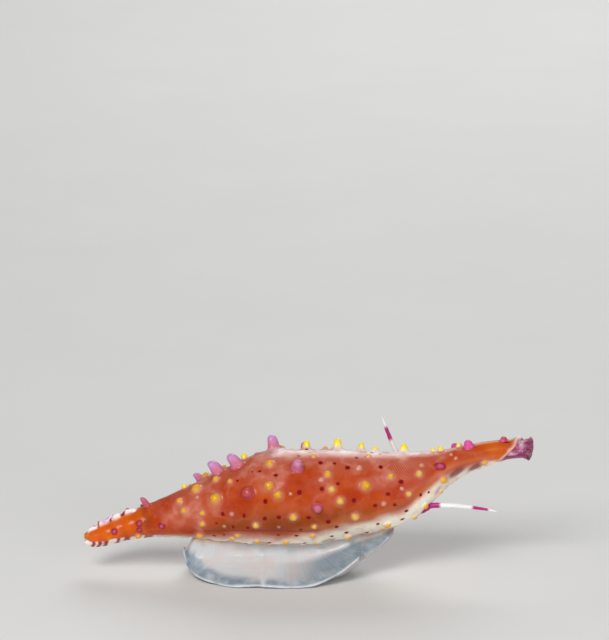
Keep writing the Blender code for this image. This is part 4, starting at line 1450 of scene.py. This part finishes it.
class Desk:
    """Adds nodes to a material or a group, and links them."""

    def __init__(self, tree: bpy.types.NodeTree) -> None:
        """Works on one tree."""
        self.tree = tree

    def node(self, kind: str, **settings: object) -> bpy.types.Node:
        """A new node.

        Args:
            kind: Its type.
            settings: Its properties.

        Returns:
            The node.
        """
        made = self.tree.nodes.new(kind)
        for name, value in settings.items():
            setattr(made, name, value)
        return made

    def feed(self, node: bpy.types.Node, **inputs: object) -> bpy.types.Node:
        """Links sockets to a node's inputs, or sets plain values on them.

        Args:
            node: The node.
            inputs: What to feed to each input; underscores in its name stand for spaces.

        Returns:
            The node.
        """
        for name, value in inputs.items():
            self.join(node.inputs[name.replace("_", " ")], value)
        return node

    def join(self, target: Socket, value: object) -> None:
        """Links or sets one input.

        Args:
            target: The input.
            value: A socket to link to it, or a plain value.
        """
        if isinstance(value, bpy.types.NodeSocket):
            self.tree.links.new(value, target)
        else:
            target.default_value = value

    def mask(self, name: str) -> Socket:
        """One of the skin's masks."""
        return self.node("ShaderNodeAttribute", attribute_name=name).outputs["Fac"]

    def math(self, operation: str, a: object, b: object = 0.0) -> Socket:
        """One step of arithmetic.

        Args:
            operation: Its name in the node.
            a: The first socket or number.
            b: The second one.

        Returns:
            The result.
        """
        made = self.node("ShaderNodeMath", operation=operation)
        self.join(made.inputs[0], a)
        self.join(made.inputs[1], b)
        return made.outputs[0]

    def times(self, a: object, b: object) -> Socket:
        """A product."""
        return self.math("MULTIPLY", a, b)

    def plus(self, a: object, b: object) -> Socket:
        """A sum."""
        return self.math("ADD", a, b)

    def less(self, a: object, b: object) -> Socket:
        """A difference."""
        return self.math("SUBTRACT", a, b)

    def rise(self, value: object, low: float, high: float, most: float = 1.0) -> Socket:
        """A smooth rise, or a fall where high is below low.

        Args:
            value: What to read.
            low: Where the result is 0.
            high: Where it is most.
            most: Its largest value.

        Returns:
            The result.
        """
        made = self.node("ShaderNodeMapRange", interpolation_type="SMOOTHSTEP")
        ends = (high, low, most, 0.0) if low > high else (low, high, 0.0, most)
        self.feed(made, Value=value, From_Min=ends[0], From_Max=ends[1], To_Min=ends[2], To_Max=ends[3])
        return made.outputs[0]

    def mix(self, share: object, a: object, b: object) -> Socket:
        """Two colours mixed.

        Args:
            share: How much of the second.
            a: The first colour.
            b: The second colour.

        Returns:
            The colour.
        """
        made = self.node("ShaderNodeMix", data_type="RGBA")
        for place, value in ((0, share), (6, a), (7, b)):
            self.join(made.inputs[place], value)
        return made.outputs[2]

    def mapped(self, **settings: Sequence[float]) -> Socket:
        """The object's own coordinates in metres, turned or scaled."""
        place = self.node("ShaderNodeTexCoord").outputs["Object"]
        return self.feed(self.node("ShaderNodeMapping"), Vector=place, **settings).outputs[0]

    def noise(self, scale: float, detail: float = 2.0, place: Socket | None = None) -> Socket:
        """Noise from 0 to 1.

        Args:
            scale: Its lumps are a little over 1/scale metres wide.
            detail: Finer layers of it.
            place: Coordinates, or none for the object's own.

        Returns:
            The noise.
        """
        place = place or self.node("ShaderNodeTexCoord").outputs["Object"]
        made = self.feed(self.node("ShaderNodeTexNoise"), Scale=scale, Detail=detail, Vector=place)
        return made.outputs["Fac"]

    def mottle(
        self, a: object, b: object, scale: float, detail: float, low: float, high: float, most: float = 1.0
    ) -> Socket:
        """Two colours in uneven patches.

        Args:
            a: The first colour.
            b: The second colour.
            scale: Of the noise between them.
            detail: Of the noise.
            low: Noise where the second starts.
            high: Noise where the second is full.
            most: Most of the second.

        Returns:
            The colour.
        """
        return self.mix(self.rise(self.noise(scale, detail), low, high, most), a, b)

    def group(self, group: bpy.types.NodeTree, **inputs: object) -> bpy.types.Node:
        """A group with its inputs set."""
        return self.feed(self.node("ShaderNodeGroup", node_tree=group), **inputs)


class GroupDesk(Desk):
    """A desk on a new shader group with named sockets."""

    def __init__(self, name: str, inputs: dict[str, float], outputs: Sequence[str]) -> None:
        """Makes the empty group.

        Args:
            name: The group's name.
            inputs: Names and values of its inputs.
            outputs: Names of its outputs.
        """
        super().__init__(bpy.data.node_groups.new(name, "ShaderNodeTree"))
        for label, value in inputs.items():
            socket = self.tree.interface.new_socket(label, in_out="INPUT", socket_type="NodeSocketFloat")
            socket.default_value = value
        for label in outputs:
            self.tree.interface.new_socket(label, in_out="OUTPUT", socket_type="NodeSocketFloat")
        self.ask, self.give = self.node("NodeGroupInput").outputs, self.node("NodeGroupOutput")


class Effects:
    """Shader groups that more than one finish uses, each built once."""

    @staticmethod
    @cache
    def wet_grain() -> bpy.types.NodeTree:
        """Fine pores and soft lumps of wet flesh: a height for bump and a roughness."""
        inputs = {"Pores": 0.5, "Lumps": 0.5, "Roughness": 0.35}
        desk = GroupDesk("wet grain", inputs, ["Height", "Roughness"])
        pores = desk.times(desk.noise(9000, 3), desk.ask["Pores"])
        lumps = desk.times(desk.noise(1700, 2), desk.ask["Lumps"])
        uneven = desk.times(desk.less(desk.noise(2600, 3), 0.5), 0.28)
        uneven = desk.plus(desk.ask["Roughness"], uneven)
        desk.feed(desk.give, Height=desk.plus(pores, lumps), Roughness=uneven)
        return desk.tree

    @staticmethod
    @cache
    def blotch() -> bpy.types.NodeTree:
        """A mark with an uneven edge: a mask that is 1 inside a distance."""
        inputs = {"Distance": 2.0, "Size": 1.0, "Waver": 0.3, "Softness": 0.15}
        desk = GroupDesk("blotch", inputs, ["Mask"])
        waver = desk.times(desk.less(desk.noise(4200, 2), 0.5), desk.ask["Waver"])
        past = desk.less(desk.plus(desk.ask["Distance"], waver), desk.ask["Size"])
        desk.feed(desk.give, Mask=desk.rise(desk.math("DIVIDE", past, desk.ask["Softness"]), 0.5, -0.5))
        return desk.tree

    @staticmethod
    @cache
    def clouds() -> bpy.types.NodeTree:
        """Milky patches and pale veins under the skin."""
        desk = GroupDesk("clouds", {"Amount": 1.0}, ["Patches", "Veins"])
        patches = desk.rise(desk.noise(520, 4), 0.46, 0.72)
        middle = desk.math("ABSOLUTE", desk.less(desk.noise(330, 1), 0.5))
        veins = desk.times(desk.rise(middle, 0.06, 0.0), desk.rise(desk.noise(700, 2), 0.40, 0.60))
        amount = desk.ask["Amount"]
        desk.feed(desk.give, Patches=desk.times(patches, amount), Veins=desk.times(veins, amount))
        return desk.tree


class Coats(Desk):
    """A material of wet, slightly see-through flesh, painted coat over coat."""

    def __init__(self, name: str, roughness: float, film: float, flesh: float, ground: Paint) -> None:
        """Starts the material.

        Args:
            name: Its name.
            roughness: Roughness under the wet film.
            film: Weight of the wet film.
            flesh: Share of light that scatters under the skin.
            ground: The lowest coat.
        """
        self.material = bpy.data.materials.new(name)
        self.material.use_nodes = True
        super().__init__(self.material.node_tree)
        self.colour: object = ground
        self.shader = self.tree.nodes["Principled BSDF"]
        self.feed(self.shader, Roughness=roughness, Coat_Weight=film, Coat_Roughness=0.07)
        self.feed(self.shader, IOR=1.36, Specular_IOR_Level=0.28, Subsurface_Weight=flesh)
        self.feed(self.shader, Subsurface_Radius=(1.0, 0.45, 0.30), Subsurface_Scale=0.0005)

    def over(self, where: object, colour: object, most: float = 1.0) -> None:
        """Paints a coat over what is there.

        Args:
            where: A mask, or its name.
            colour: The coat's colour.
            most: How much of it shows where the mask is 1.
        """
        share = self.mask(where) if isinstance(where, str) else where
        share = share if most == 1.0 else self.times(share, most)
        self.colour = self.mix(share, self.colour, colour)

    def blotch(self, name: str, edge: Sequence[object], colour: object, most: float = 1.0) -> None:
        """Paints where a mask is inside a size.

        Args:
            name: The mask.
            edge: Size of the mark, waver of its edge and softness of its edge.
            colour: The mark's colour.
            most: How much of it shows.
        """
        size, waver, soft = edge
        made = self.group(Effects.blotch(), Distance=self.mask(name), Size=size, Waver=waver, Softness=soft)
        self.over(made.outputs["Mask"], colour, most)

    def finish(
        self, grain: Sequence[float], strength: float, depth: float, more: Socket | None = None
    ) -> bpy.types.Material:
        """Gives the shader its colour, roughness and bump.

        Args:
            grain: Pores, lumps and roughness of the wet flesh.
            strength: Of the bump.
            depth: Of the bump, in metres.
            more: A height to add to that of the grain.

        Returns:
            The material.
        """
        wet = self.group(Effects.wet_grain(), **dict(zip(("Pores", "Lumps", "Roughness"), grain))).outputs
        height = wet["Height"] if more is None else self.plus(wet["Height"], more)
        bump = self.feed(self.node("ShaderNodeBump"), Strength=strength, Distance=depth, Height=height)
        normal = bump.outputs["Normal"]
        self.feed(self.shader, Base_Color=self.colour, Roughness=wet["Roughness"], Normal=normal)
        return self.material


@dataclass(frozen=True)
class MantleFinish:
    """Paint of the mantle: orange flesh under a milky veil, with spots, papillae and stripes."""

    orange: Paint = paint(188, 72, 3)
    ember: Paint = paint(172, 50, 2)
    # Painted shade low on the flank and behind the edge over the siphon, also a darker patch at the tail's
    # base
    darker_band_and_shade: Paint = paint(138, 64, 4)
    salmon: Paint = paint(186, 86, 58)
    milk: Paint = paint(214, 142, 126)
    cream: Paint = paint(254, 246, 228)
    rose: Paint = paint(244, 220, 200)
    straw: Paint = paint(198, 112, 66)
    line: Paint = paint(138, 44, 42)
    # White of the line along the back, partly painted rim light; also pale blotches of the siphon
    film: Paint = paint(250, 240, 240)
    white: Paint = paint(248, 240, 237)
    amber: Paint = paint(218, 94, 2)
    gold: Paint = paint(230, 130, 4)
    spot: Paint = paint(122, 3, 5)
    halo: Paint = paint(176, 40, 22)
    yellow: Paint = paint(226, 166, 26)
    lemon: Paint = paint(252, 228, 40)
    pale_yellow: Paint = paint(230, 190, 108)
    pink: Paint = paint(208, 122, 150)
    blush: Paint = paint(188, 76, 76)
    lilac: Paint = paint(206, 150, 206)
    hot: Paint = paint(222, 88, 160)
    wine: Paint = paint(150, 22, 40)
    magenta: Paint = paint(168, 18, 72)
    maroon: Paint = paint(132, 42, 62)
    mauve: Paint = paint(190, 106, 148)
    plum: Paint = paint(142, 52, 98)
    fringe: Paint = paint(150, 44, 98)
    shade: Paint = paint(70, 16, 30)

    def make(self) -> bpy.types.Material:
        """The material."""
        coats = Coats("mantle_flesh", 0.30, 0.16, 0.12, self.orange)
        clouds = coats.group(Effects.clouds(), Amount=1.0).outputs
        veil = coats.mask("veil")
        coats.over(coats.rise(coats.noise(330, 3), 0.35, 0.7), self.ember)
        # Painted shade low on the flank and behind the edge over the siphon, and a darker patch at the
        # tail's base
        coats.over("darker_band_and_shade", self.darker_band_and_shade, 0.75)
        coats.over("amber", coats.mottle(self.amber, self.gold, 420, 2, 0.4, 0.65))
        thick = coats.times(veil, coats.plus(0.35, coats.noise(620, 4)))
        coats.over(coats.rise(thick, 0.15, 0.85, 0.85), self.salmon)
        coats.over(coats.times(clouds["Patches"], coats.plus(veil, 0.15)), self.milk, 0.68)
        coats.over(coats.times(clouds["Veins"], coats.plus(coats.times(veil, 0.24), 0.10)), self.milk)
        self.striations(coats)
        coats.over("straw", self.straw, 0.65)
        coats.over("pale", coats.mottle(self.cream, self.rose, 900, 3, 0.44, 0.66))
        coats.over("line", self.line, 0.9)
        # White line along the back, partly painted rim light
        coats.over(coats.times(coats.mask("rim"), coats.rise(coats.noise(500, 3), 0.2, 0.55)), self.film)
        self.siphon(coats)
        coats.over("maroon", self.maroon)
        coats.over("white", coats.mottle(self.white, self.lilac, 1500, 2, 0.48, 0.66, 0.7))
        self.marks(coats)
        self.papillae(coats)
        # Painted shade deep inside the tail's pit and the siphon's bore
        coats.over("opening_shade", self.shade, 0.85)
        return coats.finish((0.30, 0.8, 0.31), 0.35, 0.00006)

    def striations(self, coats: Coats) -> None:
        """Paints fine oblique muscle lines on the front of the flank.

        Args:
            coats: The paint so far.
        """
        lines = coats.node("ShaderNodeTexWave", wave_type="BANDS", bands_direction="X")
        turned = coats.mapped(Rotation=(0.0, math.radians(38), 0.0))
        coats.feed(lines, Vector=turned, Scale=1700, Distortion=3.0, Detail_Scale=0.3)
        coats.over(coats.times(lines.outputs["Fac"], coats.mask("front")), self.milk, 0.50)

    def siphon(self, coats: Coats) -> None:
        """Paints the mauve siphon, streaked along its length and dark at its frayed rim.

        Args:
            coats: The paint so far.
        """
        streaks = coats.noise(3000, 3, coats.mapped(Scale=(0.22, 1.0, 1.0)))
        mauve = coats.mix(coats.rise(streaks, 0.38, 0.68), self.plum, self.mauve)
        mauve = coats.mottle(mauve, self.film, 1300, 3, 0.50, 0.68, 0.45)
        dark = coats.times(coats.mask("rimward"), coats.rise(streaks, 0.75, 0.35, 0.55))
        coats.over("mauve", coats.mix(dark, mauve, self.fringe))

    def marks(self, coats: Coats) -> None:
        """Paints the spots, each in its halo, over the haze round the yellow papillae.

        Args:
            coats: The paint so far.
        """
        haze = coats.mix(coats.mask("pale"), self.milk, self.white)
        coats.blotch("yellow", (1.10, 0.35, 0.9), haze, 0.36)
        coats.blotch("spot", (1.35, 0.4, 0.9), self.halo, 0.35)
        coats.blotch("spot", (0.95, 0.35, 0.35), self.spot)

    def papillae(self, coats: Coats) -> None:
        """Paints the papillae of each kind.

        Args:
            coats: The paint so far.
        """
        tall, tint = coats.mask("tall"), coats.mask("tint")
        ripe = coats.mix(tall, self.yellow, self.lemon)
        ripe = coats.mix(coats.rise(tint, 0.0, 1.0), ripe, self.pale_yellow)
        coats.blotch("yellow", (0.68, 0.15, 0.55), coats.mix(tall, self.pale_yellow, self.white), 0.65)
        coats.blotch("yellow", (coats.plus(coats.times(tall, 0.10), 0.52), 0.15, 0.50), ripe)
        coats.blotch("pale_bump", (0.60, 0.2, 1.0), self.cream, 0.30)
        # Wine ring round each pink finger's base, partly painted shade where it meets the skin
        coats.blotch("pink", (1.0, 0.2, 0.25), self.wine, 0.35)
        skin = coats.mix(coats.rise(tint, 0.05, 0.5), self.blush, self.pink)
        tip = coats.times(coats.rise(coats.mask("pink"), 0.66, 0.20), tint)
        finger = coats.mix(tip, skin, self.lilac)
        finger = coats.mix(coats.rise(tint, -0.4, -0.6), finger, self.hot)
        finger = coats.mottle(finger, self.magenta, 6500, 2, 0.50, 0.68, 0.22)
        coats.blotch("pink", (0.80, 0.15, 0.30), finger)
        coats.blotch("disc", (0.86, 0.15, 0.34), self.wine, 0.80)
        coats.blotch("disc", (0.66, 0.12, 0.30), self.magenta, 0.85)
        # Painted highlight: the lighter pink middle of each disc
        coats.blotch("disc", (0.38, 0.20, 0.50), self.pink, 0.5)


@dataclass(frozen=True)
class FootFinish:
    """Paint of the foot, head and tentacles: milky flesh, clear at the margin, with magenta bands."""

    core: Paint = paint(202, 204, 207)
    blush: Paint = paint(206, 197, 196)
    grey: Paint = paint(128, 141, 151)
    margin: Paint = paint(120, 139, 154)
    rim: Paint = paint(212, 222, 228)
    ray: Paint = paint(236, 238, 240)
    cream: Paint = paint(222, 192, 166)
    skin: Paint = paint(206, 160, 138)
    red: Paint = paint(186, 48, 24)
    flame: Paint = paint(212, 92, 56)
    # Dark wine: painted shade in the snout's grooves, and darker flecks of the tentacles' magenta bands
    dark_wine_and_fold_shade: Paint = paint(112, 16, 28)
    magenta: Paint = paint(182, 44, 128)
    white: Paint = paint(240, 240, 240)
    dark: Paint = paint(60, 40, 44)

    def make(self) -> bpy.types.Material:
        """The material."""
        coats = Coats("foot_flesh", 0.34, 0.25, 0.30, self.grey)
        ray = coats.node("ShaderNodeTexNoise", noise_dimensions="1D")
        rays = coats.feed(ray, Scale=60, Detail=3, W=coats.mask("ray")).outputs["Fac"]
        coats.over("core", coats.mottle(self.core, self.blush, 420, 3, 0.4, 0.65))
        coats.over("edge", coats.mottle(self.margin, self.ray, 800, 4, 0.30, 0.80, 0.5))
        coats.over(coats.rise(rays, 0.42, 0.75), self.ray, 0.13)
        coats.over("thin", self.rim, 0.8)
        head = coats.mottle(self.cream, self.skin, 1100, 3, 0.42, 0.66)
        coats.colour = coats.mix(coats.mask("is_foot"), head, coats.colour)
        coats.over("tentacle", self.white)
        coats.over("band", coats.mottle(self.magenta, self.dark_wine_and_fold_shade, 5200, 2, 0.55, 0.7, 0.4))
        coats.over("snout", coats.mottle(self.red, self.flame, 900, 3, 0.42, 0.66))
        # Painted shade in the snout's grooves, its mouth slit and where it meets the head
        coats.over("dark_wine_and_fold_shade", self.dark_wine_and_fold_shade, 0.85)
        coats.over("mark", self.magenta)
        coats.over(coats.rise(coats.mask("halo"), 0.42, 0.22, 0.6), self.dark)
        coats.over(coats.rise(coats.noise(6200, 1), 0.72, 0.80, 0.3), self.white)
        return coats.finish((0.30, 0.5, 0.33), 0.30, 0.00005, coats.times(rays, 0.2))


@dataclass(frozen=True)
class EyeFinish:
    """Black, wet and faintly brown, like a bead."""

    black: Paint = paint(9, 8, 9)
    brown: Paint = paint(34, 18, 14)

    def make(self) -> bpy.types.Material:
        """The material."""
        coats = Coats("eye_black", 0.10, 0.8, 0.0, self.black)
        coats.over(coats.rise(coats.noise(9000, 3), 0.45, 0.7, 0.6), self.brown)
        return coats.finish((0.2, 0.1, 0.10), 0.08, 0.00002)


@dataclass
class Studio:
    """Floor, lights and camera."""

    floor_half: float = 3.0
    elevation: float = 16.0
    # What the middle of the picture looks at, and how much of it the picture's long side takes in
    target: tuple[float, float, float] = (1.5, 4.7, 24.35)
    view_height: float = 62.59
    distance: float = 500.0
    # Width of the camera's sensor, and what the lights are turned to, in metres
    sensor: float = 36.0
    aim: tuple[float, float, float] = (0.0, 0.0, 0.008)

    def floor(self) -> None:
        """A wide pale floor."""
        ways = ((-1, -1), (1, -1), (1, 1), (-1, 1))
        corners = [(self.floor_half * i, self.floor_half * j, 0) for i, j in ways]
        floor = add("floor", mesh_of("floor", corners, [(0, 1, 2, 3)]))
        material = bpy.data.materials.new("pale_floor")
        material.use_nodes = True
        desk = Desk(material.node_tree)
        pale = desk.mix(desk.noise(60, 3), paint(222, 222, 220), paint(228, 228, 226))
        desk.feed(desk.tree.nodes["Principled BSDF"], Base_Color=pale, Roughness=0.7)
        floor.data.materials.append(material)

    def light(
        self, name: str, place: Sequence[float], size: float, power: float, tint: Sequence[float]
    ) -> None:
        """A soft square light, turned to the animal.

        Args:
            name: Its name.
            place: Where it is, in metres.
            size: Its side, in metres.
            power: Its power, in watts.
            tint: Its colour.
        """
        lamp = bpy.data.lights.new(name, "AREA")
        lamp.size, lamp.energy, lamp.color = size, power, tint
        made = add(name, lamp)
        made.location = place
        made.rotation_euler = (Vector(self.aim) - Vector(place)).to_track_quat("-Z", "Y").to_euler()

    def lights(self) -> None:
        """A key from above in front, a fill, and a light behind for the outline."""
        self.light("key", (-0.12, -0.27, 0.26), 0.16, 0.98, (1.0, 0.98, 0.95))
        self.light("fill", (0.24, -0.32, 0.09), 0.25, 0.52, (0.97, 0.98, 1.0))
        self.light("back", (0.05, 0.30, 0.22), 0.22, 0.5, (1.0, 1.0, 1.0))
        world = bpy.data.worlds.new("studio")
        world.use_nodes = True
        desk = Desk(world.node_tree)
        desk.feed(desk.tree.nodes["Background"], Color=(0.95, 0.97, 1.0, 1.0), Strength=0.22)
        bpy.context.scene.world = world
        bpy.context.scene.view_settings.view_transform = "Standard"

    def camera(self) -> None:
        """A long lens that looks down a little on the right flank."""
        angle = math.radians(self.elevation)
        back = Vector((0.0, -math.cos(angle), math.sin(angle)))
        lens = bpy.data.cameras.new("camera")
        lens.sensor_width = self.sensor
        lens.lens = self.sensor * self.distance / self.view_height
        lens.clip_start, lens.clip_end = 0.01, 10.0
        made = add("camera", lens)
        made.location = (Vector(self.target) + back * self.distance) * MM
        made.rotation_euler = (-back).to_track_quat("-Z", "Y").to_euler()
        bpy.context.scene.camera = made

    def build(self) -> None:
        """Sets up the studio."""
        self.floor()
        self.lights()
        self.camera()


def main() -> None:
    """Builds the animal piece by piece."""
    logging.basicConfig(level=logging.INFO, format="%(name)s: %(message)s")
    Studio().build()
    MantleSkin().build(MantleFinish().make())
    head = FootAndHead()
    head.build(FootFinish().make())
    black = EyeFinish().make()
    for side in (-1, 1):
        Eye(side, head).build(black)


if __name__ == "__main__":
    main()
